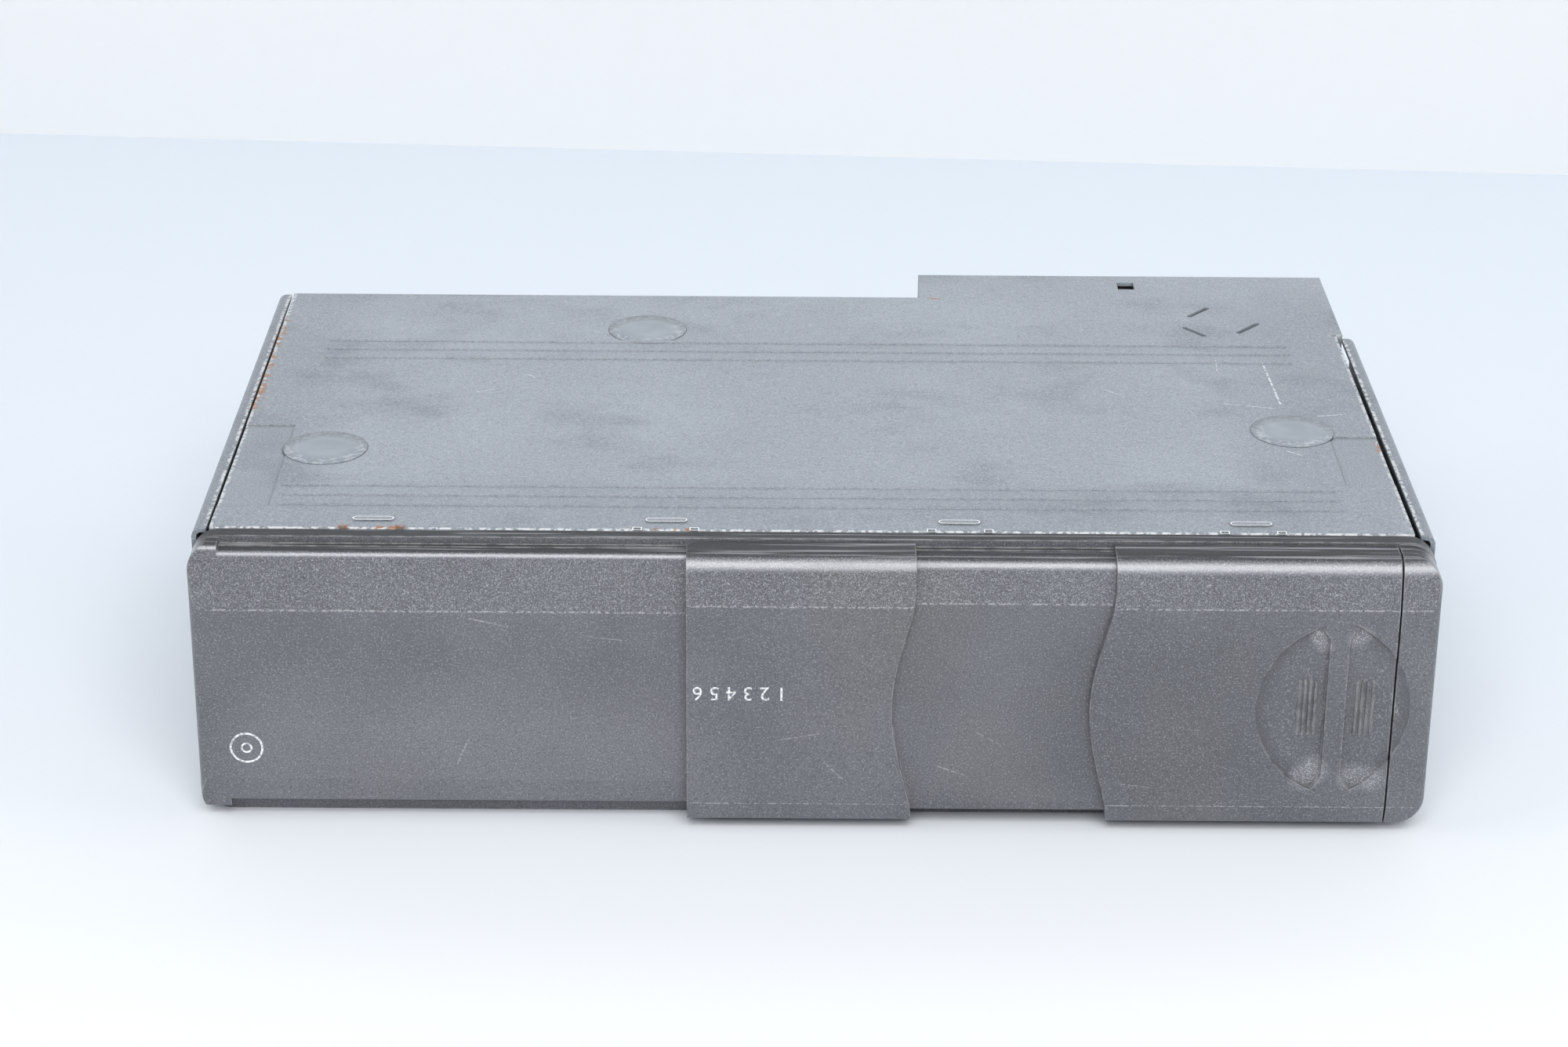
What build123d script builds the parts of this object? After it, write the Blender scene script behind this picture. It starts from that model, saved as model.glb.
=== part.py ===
from build123d import *
import math
import os

# A six-disc car CD changer, modelled as it lies in the photograph: upside down,
# with the steel base plate on top. X runs to the right, Y to the back, Z up, in mm.
# While modelling, Y = 0 is the outer face of the sliding doors and Z = 0 the case
# bottom. export() then moves everything so that the origin is at the middle of the
# bottom of the whole box.

# ---- overall sizes -------------------------------------------------------------
CASE_WIDTH = 255.0
PLATE_TOP = 63.2            # outer face of the base plate
MAIN_BACK = 150.8           # rear wall of the case
HOUSING_DEPTH = 15.9        # how far the connector housing stands out behind it
SHEET = 1.0                 # steel sheet of the case and the base plate
GAP = 0.3                   # running clearance between pieces that slide
FIT = 0.2                   # clearance between pieces that are only assembled

HALF = CASE_WIDTH / 2
PLATE_UNDER = PLATE_TOP - SHEET
REAR_BACK = MAIN_BACK + HOUSING_DEPTH

# ---- where the magazine and the chassis stand across the width ---------------------
TRAY_LENGTH = 127.0
TRAY_ROOM = 1.9             # from the end of a tray to the closed end of the magazine
MAGAZINE_WALL = 1.6
CAGE_MARGIN = 10.3          # from the side of the case to the tunnel of the magazine
CHASSIS_MARGIN = 4.5        # from the other side of the case to the chassis

CAGE_RIGHT = HALF - CAGE_MARGIN
MAGAZINE_RIGHT = CAGE_RIGHT - 0.7
TRAY_LEFT = MAGAZINE_RIGHT - MAGAZINE_WALL - TRAY_ROOM - TRAY_LENGTH
MAGAZINE_LEFT = TRAY_LEFT - 0.5
CAGE_LEFT = MAGAZINE_LEFT - 1.5
CHASSIS_LEFT = CHASSIS_MARGIN - HALF
CHASSIS_RIGHT = CAGE_LEFT - 1.0     # edge of the opening towards the magazine

# ---- front: bezel and doors ----------------------------------------------------
RIM_FRONT = 9.6             # the rim that frames the sliding track
RIM_BACK = 13.0             # where the bezel meets the steel case
RIM_TOP = PLATE_TOP - 0.3
CORNER = 6.0                # corner radius of the front seen head on
SIDE_ROUND = 2.2            # rounding from the front face to the sides
UPPER_LEAN = 10.0           # degrees that the upper facet leans back
LOWER_LEAN = 14.0

DOOR_BOTTOM = 2.5
DOOR_TOP = PLATE_TOP - 0.8
DOOR_LOW_CREASE = 6.9
DOOR_HIGH_CREASE = DOOR_TOP - 10.4
DOOR_TOP_ROUND = 4.0
DOOR_BOTTOM_ROUND = 1.2
DOOR_LIP_BACK = 9.3         # how far the lips reach over the track

MIDDLE_FACE = 2.1           # the wavy middle panel lies this far behind the doors
MIDDLE_BOTTOM = 4.1
MIDDLE_TOP = DOOR_TOP - 1.3
MIDDLE_TOP_ROUND = 2.6

PANEL_FACE = 3.4            # the fixed left panel
TRACK_DROP = 2.0            # the upper track lies this far under the base plate
TRACK_TOP = PLATE_TOP - TRACK_DROP
TRACK_GROOVE = (7.9, 8.5)   # dirt groove along the upper track
GROOVE_DEPTH = 0.4
PANEL_LOW_CREASE = 10.3
PANEL_HIGH_CREASE = TRACK_TOP - 12.3
PANEL_BOTTOM = 4.3          # also the level of the lower track
PANEL_TOP_ROUND = 1.5
PANEL_WALL = 2.2

TRACK_LEFT = 6.2 - HALF     # end of the track, where the fully open door stops
CAP_WIDTH = 8.5
DOOR_SEAM = HALF - CAP_WIDTH        # joint between the right-hand door and the end cap
SEAM_GAP = 0.4
WAVE_INNER = DOOR_SEAM - 98.4       # upper end of the wavy right edge of the inner door
WAVE_SHIFT = 40.4           # the same curve again on the outer door
WAVE_GAP = 0.15             # left between the two wavy edges when they nest
MIDDLE_RIGHT = WAVE_INNER + WAVE_SHIFT + 11.0   # hidden right end of the middle panel
DOOR_CORNER = 2.5

WINDOW_LEFT = MAGAZINE_LEFT - 2.0   # magazine window in the bezel
WINDOW_RIGHT = DOOR_SEAM - 0.5
WINDOW_LOW = 8.0
WINDOW_HIGH = PLATE_TOP - 6.7
DOOR_LEFT = WINDOW_LEFT - 9.4

# finger recesses either side of the grip bar
BAR_LEFT = DOOR_SEAM - 13.7
BAR_RIGHT = BAR_LEFT + 4.0
RECESS_LEFT = BAR_LEFT - 14.3
RECESS_RIGHT = DOOR_SEAM + 3.5
RECESS_LOW = 11.0
RECESS_HIGH = 48.2
RECESS_DEPTH = 1.2
RIB_COUNT = 4
RIB_PITCH = 1.1
RIB_WIDTH = 0.5
RIB_LOW = 23.5
RIB_HIGH = 35.9
RIB_FROM_BAR = 3.9          # from the grip bar to the middle of each group of ribs
RECESS_ROUND = 2.6

# ---- steel case ----------------------------------------------------------------
COVER_FRONT = RIM_BACK
REAR_FRONT = MAIN_BACK - 23.3
RIGHT_WALL_BACK = REAR_FRONT - 1.6  # the right wall of the cover stops short of the back
COVER_FLANGE = 3.1          # rolled edge along the top of each side wall
COVER_ROUND = 2.0
COVER_TOP = PLATE_TOP - 0.3
PLATE_LEFT = 3.75 - HALF
PLATE_RIGHT = HALF - 4.35
REAR_RIGHT = HALF - 2.8
REAR_LEFT = REAR_RIGHT - 98.1       # the part of the plate that reaches over the connector
NOTCH_LEFT = REAR_RIGHT - 2.8
NOTCH_WIDTH = 1.1
REAR_FLOOR = 24.0           # underside of the connector housing
RIB_LEFT_END = PLATE_LEFT + 12.25
RIB_RIGHT_END = PLATE_RIGHT - 12.65
RIB_ROWS = (25.2, 30.3, 35.3, MAIN_BACK - 41.6, MAIN_BACK - 36.3, MAIN_BACK - 31.0)
BEAD_WIDTH = 1.3
BEAD_RISE = 0.3
STICKER_RADIUS = 9.0
STICKER_THICK = 0.15
ACCESS_RADIUS = 4.5         # hole under each sticker
STICKERS = ((PLATE_LEFT + 85.65, MAIN_BACK - 22.8), (PLATE_LEFT + 18.85, 55.0),
            (PLATE_RIGHT - 18.05, 68.0))
PADS = ((PLATE_LEFT - 1, PLATE_LEFT + 10.75, 24.0, 68.0),
        (PLATE_RIGHT - 10.45, PLATE_RIGHT + 1, 38.5, 65.0))
PAD_SINK = 0.25             # the pads at both edges of the plate are pressed in
HOOKS = (-90.6, -30.3, 30.0, 90.1)
HOOK_HALF = 5.85
HOOK_SLOT = 8.6             # embossed slot between the two notches of a hook
HOOK_SLOT_WIDTH = 1.5
HOOK_SLOT_ROW = 17.5
HOOK_NOTCH = 0.7            # half width of a notch
REAR_HOLE = (REAR_RIGHT - 50.0, REAR_RIGHT - 46.0, REAR_BACK - 9.2, REAR_BACK - 4.3)
LANCED_SLOTS = (((35.0, 12.0), (29.5, 5.5)), ((32.2, 24.9), (36.9, 18.8)),
                ((24.6, 22.7), (18.8, 15.9)))   # counted from the right and the back
LANCED_WIDTH = 1.3
NUT_RADIUS = 4.5
NUT_BORE = 2.1              # minor radius of the M5 thread
NUT_LENGTH = 3.0
NUT_ROWS = (40.0, 112.0)
NUT_LEVEL = 31.6

# ---- magazine and trays ----------------------------------------------------------
TRAY_COUNT = 6
TRAY_PITCH = 5.0
TRAY_THICK = 1.8
TOP_TRAY = PLATE_TOP - 18.2     # middle plane of the uppermost tray as the changer lies
REAR_WALL = MAIN_BACK - 4.7     # rear wall of the chassis
MAGAZINE_FRONT = 15.0
MAGAZINE_BACK = REAR_WALL - 1.1
TRAY_FRONT = MAGAZINE_FRONT + 2.0
TRAY_BACK = MAGAZINE_BACK - 2.0
TRAY_TRAVEL = TRAY_LEFT - CHASSIS_LEFT - 5.0    # from the magazine to the playing position
DISC_RECESS = 60.5          # radius of the recess for a 120 mm disc
DISC_STEP = 1.0
TRAY_SLOT = 18.0            # half width of the slot for the turntable and the pickup
RAIL_DEPTH = 1.8            # how far the slotted rails reach over the tray edges
MAGAZINE_ROOM = 1.8         # space over the first and under the last tray

TRAY_LEVELS = [TOP_TRAY - i * TRAY_PITCH for i in range(TRAY_COUNT)]
MAGAZINE_TOP = TOP_TRAY + TRAY_THICK / 2 + MAGAZINE_ROOM + MAGAZINE_WALL
MAGAZINE_BOTTOM = TRAY_LEVELS[-1] - TRAY_THICK / 2 - MAGAZINE_ROOM - MAGAZINE_WALL
DISC_X = TRAY_LEFT + TRAY_LENGTH / 2
DISC_Y = (TRAY_FRONT + TRAY_BACK) / 2
SPINDLE_X = DISC_X - TRAY_TRAVEL

# ---- inner chassis -----------------------------------------------------------------
INNER_SHEET = 0.9
FRONT_WALL = RIM_BACK + 0.1
CHASSIS_FLOOR = 1.3
CHASSIS_FLANGE = 7.0
CHASSIS_SIDE = 42.0         # height of the left side wall
CAGE_FRONT = RIM_BACK + 0.4
CAGE_ROOF = MAGAZINE_TOP + GAP + INNER_SHEET
CAGE_CUTOUTS = (36.0, 96.0)     # places of the two openings in the floor of the tunnel
CUTOUT_HALF = 18.0
CUTOUT_INSET = 40.0
LIFT_TRAVEL = TRAY_PITCH * (TRAY_COUNT - 1)

# ---- lifting gear ------------------------------------------------------------------
CAM_TRAVEL = 24.0
CAM_SHEET = 1.0
CAM_FRONT = FRONT_WALL + INNER_SHEET + 0.2
CAM_REAR = REAR_WALL - 0.3 - CAM_SHEET
CAM_RIGHT = CHASSIS_RIGHT - 5.0
CAM_LEG = 20.0              # width of the legs and of the bridge under the trays
CAM_BRIDGE = CHASSIS_FLOOR + INNER_SHEET + GAP
PIN_RADIUS = 1.5
PIN_PLAY = 0.2
PIN_PLACES = (CHASSIS_LEFT + 39.0, CHASSIS_RIGHT - 35.0)
CAM_LEFT = PIN_PLACES[0] - 6.0
DECK_LOW = TOP_TRAY + 3.8
PIN_LEVEL = DECK_LOW + 3.7
CAM_LOW = PIN_LEVEL - LIFT_TRAVEL - 6.5
CAM_HIGH = PIN_LEVEL + 5.5
RACK_MODULE = 1.0
RACK_PITCH_Y = 62.0
RACK_HEIGHT = 3.0
PINION_TEETH = 12
PINION_X = CAM_LEFT + CAM_LEG + 28.0
RACK_RIGHT = PINION_X + 28.0
WHEEL_TEETH = 64
FINE_MODULE = 0.5
MOTOR_TEETH = 10
HALF_TOOTH = 180 / MOTOR_TEETH
WHEEL_LOW = 12.2
WHEEL_THICK = 1.6
AXLE_RADIUS = 1.0
AXLE_PLAY = 0.06
LIFT_MOTOR_RADIUS = 10.0
LIFT_MOTOR_TOP = 11.6

# ---- playing unit --------------------------------------------------------------------
DECK_SHEET = 1.0
DECK_LEFT = CHASSIS_LEFT + 3.2
DECK_RIGHT = CHASSIS_RIGHT - 2.0
LIFT_WALL = 1.2
LIFT_FRONT = CAM_FRONT + CAM_SHEET + 0.3
LIFT_REAR = CAM_REAR - 0.3
LIFT_WALL_TOP = DECK_LOW + 7.2
WINDOW = (SPINDLE_X - 53.5, SPINDLE_X + 19.5, DISC_Y - 31.0, DISC_Y + 31.0)
DAMPER_PLACES = [(x, DISC_Y + side * 35.0)
                 for x in (DECK_LEFT + 7.8, DECK_RIGHT - 12.0) for side in (-1, 1)]
DAMPER_HEIGHT = 1.8
UNIT_LOW = DECK_LOW + DECK_SHEET + DAMPER_HEIGHT
UNIT_SHEET = 1.0
UNIT_TOP = UNIT_LOW + UNIT_SHEET
UNIT_PLATE = (DECK_LEFT + 1.3, DECK_RIGHT - 8.0, DISC_Y - 46.0, DISC_Y + 39.0)
ROD_LUGS = ((UNIT_PLATE[0], UNIT_PLATE[0] + 1.5), (SPINDLE_X - 11.5, SPINDLE_X - 9.5))
TURNTABLE_RADIUS = 14.0
TURNTABLE_LOW = TOP_TRAY + 2.4
CONE_TIP = TOP_TRAY + TRAY_THICK / 2 + 0.35
SPINDLE_MOTOR_RADIUS = 11.0
SPINDLE_MOTOR_TOP = UNIT_TOP + 5.0
SLED_TRAVEL = 32.0
LENS_START = 23.0           # distance of the lens from the spindle at the disc's inner track
LENS_RADIUS = 2.4
SLED_LOW = UNIT_TOP + 0.4
SLED_HEIGHT = 4.6
SLED_HALF_X = 8.0
SLED_HALF_Y = 20.0
GUIDE_OFFSET = 16.0
GUIDE_RADIUS = 1.2
GUIDE_LEVEL = SLED_LOW + 2.4
SLED_TEETH = 16
SLED_WHEEL_TEETH = 36
SLED_RACK_Y = DISC_Y - 22.4
SLED_PINION_X = SPINDLE_X - 29.5
SLED_WHEEL_LOW = SLED_LOW + 4.9
SLED_MOTOR_RADIUS = 5.8
SLED_MOTOR_TOP = UNIT_TOP + 5.0
CLAMP_LEVEL = TOP_TRAY - TRAY_PITCH / 2
CLAMP_SHEET = 1.2
CLAMP_HINGE_X = DECK_LEFT + 1.3
CLAMP_BARREL = 1.1
CLAMP_EAR = 14.0            # from the middle of the hinge to the outer face of each ear
EAR_THICK = 2.0
BARREL_HALF = CLAMP_EAR - EAR_THICK - GAP
CLAMP_ARM_HALF = 15.0
CLAMP_NOSE = 12.0           # how far the arm reaches past the clamper's middle
CLAMPER_RADIUS = 12.5
CLAMPER_HUB = 9.5
CLAMPER_THICK = 2.6

# ---- ejector, board and rear -----------------------------------------------------------
BUTTON = (DOOR_SEAM - 27.0, DOOR_SEAM - 15.0, CAGE_ROOF + 0.7, CAGE_ROOF + 5.7)
SPRING_LEVEL = BUTTON[3] - 1.5
SPRING_WIRE = 0.4
BUTTON_FRONT = DOOR_LIP_BACK + GAP
BUTTON_DEPTH = 4.4
BUTTON_TRAVEL = 2.5
SPRING_SEAT = 21.0
SPRING_RADIUS = 1.1
STEM_INSET = 3.0            # the stem is narrower than the button by this on each side
STEM_THICK = 2.0
STEM_BACK = 30.0
LEVER_X = BUTTON[0] - 4.0
LEVER_Y = 44.0
BOARD_LENGTH = 120.0
BOARD = (MAGAZINE_RIGHT - 4.5 - BOARD_LENGTH, MAGAZINE_RIGHT - 4.5, 24.0, REAR_WALL - 10.1)
BOARD_THICK = 1.6
POST_LENGTH = 2.4           # hexagonal spacers between the board and the base plate
POST_RADIUS = 2.6
POST_INSET = 6.0
BOARD_LOW = PLATE_UNDER - POST_LENGTH - BOARD_THICK
SOCKET = (REAR_LEFT + 33.4, REAR_LEFT + 57.4, 34.0, 50.0)
SOCKET_DEPTH = 9.0
SOCKET_WALL = 1.6
SOCKET_PIN_BACK = REAR_BACK - 4.7
SOCKET_PIN = 1.0            # side of a square pin
SOCKET_COLUMNS = 6
# places on the board are counted from its left edge, those of chips and plugs also
# from its front edge and those of the capacitors from its back edge
CHIPS = ((28, 46, 18, 18), (58, 38, 14, 14), (60, 76, 20, 9), (22, 82, 12, 8))
CAPACITORS = ((80, 16, 4), (90, 16, 4), (100, 16, 3), (38, 14, 3), (8, 46, 2.5))
PLUGS = ((10, 16), (10, 36))
DAMPER_ROWS = (30.0, 100.0)
DAMPER_LEVEL = 20.0
SCREWS = (PLATE_LEFT + 13.75, PLATE_LEFT + 81.75, REAR_LEFT - 12.6)


def block(x0, x1, y0, y1, z0, z1):
    """A box from its two corners."""
    middle = ((x0 + x1) / 2, (y0 + y1) / 2, (z0 + z1) / 2)
    return Pos(*middle) * Box(x1 - x0, y1 - y0, z1 - z0)


def disc(x, y, z0, z1, radius):
    """An upright cylinder from z0 to z1."""
    return Pos(x, y, (z0 + z1) / 2) * Cylinder(radius, z1 - z0)


def rod_x(x0, x1, y, z, radius):
    """A cylinder along X."""
    return Pos((x0 + x1) / 2, y, z) * Rot(0, 90, 0) * Cylinder(radius, x1 - x0)


def rod_y(x, y0, y1, z, radius):
    """A cylinder along Y."""
    return Pos(x, (y0 + y1) / 2, z) * Rot(90, 0, 0) * Cylinder(radius, y1 - y0)


def along_x(section, x0, x1):
    """Extrude a section drawn in Y and Z from x0 to x1."""
    return extrude(Plane.YZ.offset(x0) * section, amount=x1 - x0)


def along_y(section, y0, y1):
    """Extrude a front view drawn in X and Z from y0 back to y1."""
    return extrude(Plane.XZ.offset(-y1) * section, amount=y1 - y0)


def round_corner(section, point, radius):
    """Round the one corner of a flat outline that lies nearest to the point."""
    corner = section.vertices().sort_by_distance((point[0], point[1], 0))[0]
    return fillet(corner, radius)


def front_section(face, low_crease, high_crease, bottom, top, back, low_round, high_round):
    """Side view of a front panel: three facets that meet in two shallow creases."""
    low_back = face + (low_crease - bottom) * math.tan(math.radians(LOWER_LEAN))
    high_back = face + (top - high_crease) * math.tan(math.radians(UPPER_LEAN))
    points = [
        (back, bottom), (low_back, bottom), (face, low_crease),
        (face, high_crease), (high_back, top), (back, top),
    ]
    section = make_face(Polyline(*points, close=True))
    section = round_corner(section, (low_back, bottom), low_round)
    return round_corner(section, (high_back, top), high_round)


def door_section(grow=0.0):
    return front_section(-grow, DOOR_LOW_CREASE, DOOR_HIGH_CREASE, DOOR_BOTTOM - grow,
                         DOOR_TOP + grow, DOOR_LIP_BACK, DOOR_BOTTOM_ROUND, DOOR_TOP_ROUND)


def middle_section(grow=0.0):
    return front_section(MIDDLE_FACE - grow, DOOR_LOW_CREASE, DOOR_HIGH_CREASE,
                         MIDDLE_BOTTOM - grow, MIDDLE_TOP + grow, DOOR_LIP_BACK,
                         DOOR_BOTTOM_ROUND, MIDDLE_TOP_ROUND)


def panel_section(back, grow=0.0):
    return front_section(PANEL_FACE - grow, PANEL_LOW_CREASE, PANEL_HIGH_CREASE,
                         PANEL_BOTTOM - grow, TRACK_TOP + grow, back,
                         DOOR_BOTTOM_ROUND, PANEL_TOP_ROUND)


def wave_region(shift, x_far):
    """Front view of everything left or right of the wavy door edge."""
    line = [
        (0.0, PLATE_TOP + 4), (0.0, 53.0), (-3.1, 39.5), (-4.3, 29.5),
        (-3.2, 19.5), (-1.0, 10.0), (0.2, -4.0),
    ]
    edge = Spline(*[(WAVE_INNER + shift + x, z) for x, z in line],
                  tangents=[(0, -1), (0, -1)])
    low, high = line[-1][1], line[0][1]
    rest = Polyline(edge @ 1, (x_far, low), (x_far, high), edge @ 0)
    region = make_face([edge, rest])
    return along_y(region, -3, RIM_BACK)


def half_moon(x_apex, x_wall, low, high):
    """Front view of a finger recess: an arc on one side, a straight wall on the other."""
    step = 2.0 if x_wall > x_apex else -2.0
    middle = (low + high) / 2
    arc = ThreePointArc((x_wall - step, low), (x_apex, middle), (x_wall - step, high))
    corners = ((x_wall, high - RECESS_ROUND), (x_wall, low + RECESS_ROUND))
    rest = Polyline(arc @ 1, *corners, arc @ 0)
    outline = make_face([arc, rest])
    for point in corners:
        outline = round_corner(outline, point, RECESS_ROUND)
    return outline


def recess_cut(x_apex, x_wall):
    """A finger recess whose floor slopes down from the arc to the straight wall."""
    outline = along_y(half_moon(x_apex, x_wall, RECESS_LOW, RECESS_HIGH), -1, RECESS_DEPTH)
    wedge = make_face(Polyline((x_apex, 0), (x_wall, RECESS_DEPTH), (x_wall, -2),
                               (x_apex, -2), close=True))
    slope = extrude(wedge, amount=PLATE_TOP)
    return outline & slope


def grip_ribs(x_middle):
    """Raised grip ribs on the floor of a recess."""
    ribs = []
    for i in range(RIB_COUNT):
        x = x_middle + (i - (RIB_COUNT - 1) / 2) * RIB_PITCH
        rib = Pos(x, (RIB_LOW + RIB_HIGH) / 2) * SlotOverall(RIB_HIGH - RIB_LOW, RIB_WIDTH, 90)
        ribs.append(along_y(rib, 0.3, RECESS_DEPTH + 0.2))
    return ribs


def rounded_front(face, bottom, top):
    """Space inside the rounded outer contour of the front."""
    whole = block(-HALF, HALF, face, RIM_BACK, bottom, top)
    uprights = whole.edges().filter_by(Axis.Y)
    whole = fillet(uprights, CORNER)
    border = whole.faces().sort_by(Axis.Y)[0].edges()
    return fillet(border, SIDE_ROUND)


def fuse(pieces):
    """Join pieces that overlap or touch into one solid."""
    whole = pieces[0]
    for piece in pieces[1:]:
        whole = whole + piece
    return whole


# ---- bezel ----------------------------------------------------------------------
def front_bezel():
    """Moulded front: left panel, track, magazine window, rim and right end cap."""
    panel = along_x(panel_section(RIM_BACK), -HALF, DOOR_SEAM + SEAM_GAP)
    end_block = along_x(
        front_section(PANEL_FACE, PANEL_LOW_CREASE, PANEL_HIGH_CREASE, DOOR_BOTTOM, DOOR_TOP,
                      RIM_BACK, DOOR_BOTTOM_ROUND, PANEL_TOP_ROUND), -HALF, TRACK_LEFT)
    left = (panel + end_block) & rounded_front(PANEL_FACE, 0, RIM_TOP)
    cap = along_x(
        front_section(0, DOOR_LOW_CREASE, DOOR_HIGH_CREASE, DOOR_BOTTOM, DOOR_TOP,
                      RIM_BACK, DOOR_BOTTOM_ROUND, DOOR_TOP_ROUND), DOOR_SEAM + SEAM_GAP, HALF)
    cap = cap & rounded_front(0, DOOR_BOTTOM, DOOR_TOP)
    cap = cap - recess_cut(RECESS_RIGHT, BAR_RIGHT)
    rim = fillet(block(-HALF, HALF, RIM_FRONT, RIM_BACK, 0, RIM_TOP).edges().filter_by(Axis.Y),
                 CORNER)
    bezel = left + cap + rim
    wall = PANEL_WALL
    hollow = along_x(
        front_section(PANEL_FACE + wall, PANEL_LOW_CREASE, PANEL_HIGH_CREASE,
                      PANEL_BOTTOM + wall, TRACK_TOP - wall, RIM_BACK + 1,
                      DOOR_BOTTOM_ROUND, PANEL_TOP_ROUND), -HALF + wall + 1, WINDOW_LEFT - wall)
    window = block(WINDOW_LEFT, WINDOW_RIGHT, -1, RIM_BACK + 1, WINDOW_LOW, WINDOW_HIGH)
    cap_hollow = block(DOOR_SEAM + SEAM_GAP + wall, HALF - wall, PANEL_FACE + wall,
                       RIM_BACK + 1, WINDOW_LOW, WINDOW_HIGH)
    groove = block(TRACK_LEFT, DOOR_SEAM, *TRACK_GROOVE, TRACK_TOP - GROOVE_DEPTH, TRACK_TOP + 1)
    return bezel - hollow - window - cap_hollow - groove


def door_inner():
    """Left half of the telescoping door: a raised panel and the wavy middle panel."""
    track = panel_section(RIM_BACK, GAP)
    raised = along_x(door_section() - track, DOOR_LEFT, WAVE_INNER + 2)
    raised = raised & wave_region(0, DOOR_LEFT - 5)
    corners = raised.edges().filter_by(Axis.Z)
    corners = corners.filter_by(lambda edge: edge.center().Y > DOOR_LIP_BACK - 0.1)
    corners = corners.filter_by(lambda edge: edge.center().X < DOOR_LEFT + 0.1)
    raised = fillet(corners, DOOR_CORNER)
    middle = along_x(middle_section() - track, DOOR_LEFT + 3, MIDDLE_RIGHT)
    return raised + middle


def door_outer():
    """Right half of the door, with the wavy left edge and the finger recesses."""
    free = middle_section(FIT) + panel_section(RIM_BACK, GAP)
    skin = along_x(door_section() - free, WAVE_INNER + WAVE_SHIFT - 6, DOOR_SEAM)
    skin = skin & wave_region(WAVE_SHIFT + WAVE_GAP, DOOR_SEAM + 5)
    skin = skin - recess_cut(RECESS_LEFT, BAR_LEFT) - recess_cut(RECESS_RIGHT, BAR_RIGHT)
    for x_middle in (BAR_LEFT - RIB_FROM_BAR, BAR_RIGHT + RIB_FROM_BAR):
        for rib in grip_ribs(x_middle):
            skin = skin + rib
    return skin


# ---- steel case ----------------------------------------------------------------
def cover_wall_section(side):
    """Side wall of the cover with its rolled top edge, drawn in X and Z."""
    outer, inner = HALF * side, (HALF - COVER_FLANGE) * side
    outline = make_face(Polyline((outer, 0), (outer, COVER_TOP), (inner, COVER_TOP),
                                 (inner, COVER_TOP - SHEET), (outer - SHEET * side, COVER_TOP - SHEET),
                                 (outer - SHEET * side, 0), close=True))
    outline = round_corner(outline, (outer, COVER_TOP), COVER_ROUND)
    return round_corner(outline, (outer - SHEET * side, COVER_TOP - SHEET), COVER_ROUND - SHEET)


def case_cover():
    """U-shaped steel cover: its broad face is the bottom here, as the changer lies."""
    left = along_y(cover_wall_section(-1), COVER_FRONT, MAIN_BACK)
    right = along_y(cover_wall_section(1), COVER_FRONT, RIGHT_WALL_BACK)
    floor = block(-HALF, HALF, COVER_FRONT, MAIN_BACK, 0, SHEET)
    floor = floor - block(REAR_RIGHT, HALF + 1, RIGHT_WALL_BACK, MAIN_BACK + 1, -1, SHEET + 1)
    cover = left + floor + right
    edges = cover.edges().filter_by(Axis.Y)
    edges = edges.filter_by(lambda edge: abs(edge.center().X) > HALF - 0.1 and edge.center().Z < 0.1)
    cover = fillet(edges, COVER_ROUND / 2)
    for y in NUT_ROWS:
        for side in (-1, 1):
            cover = cover - rod_x(side * HALF - 3, side * HALF + 3, y, NUT_LEVEL, NUT_BORE + 1)
    return cover


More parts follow.
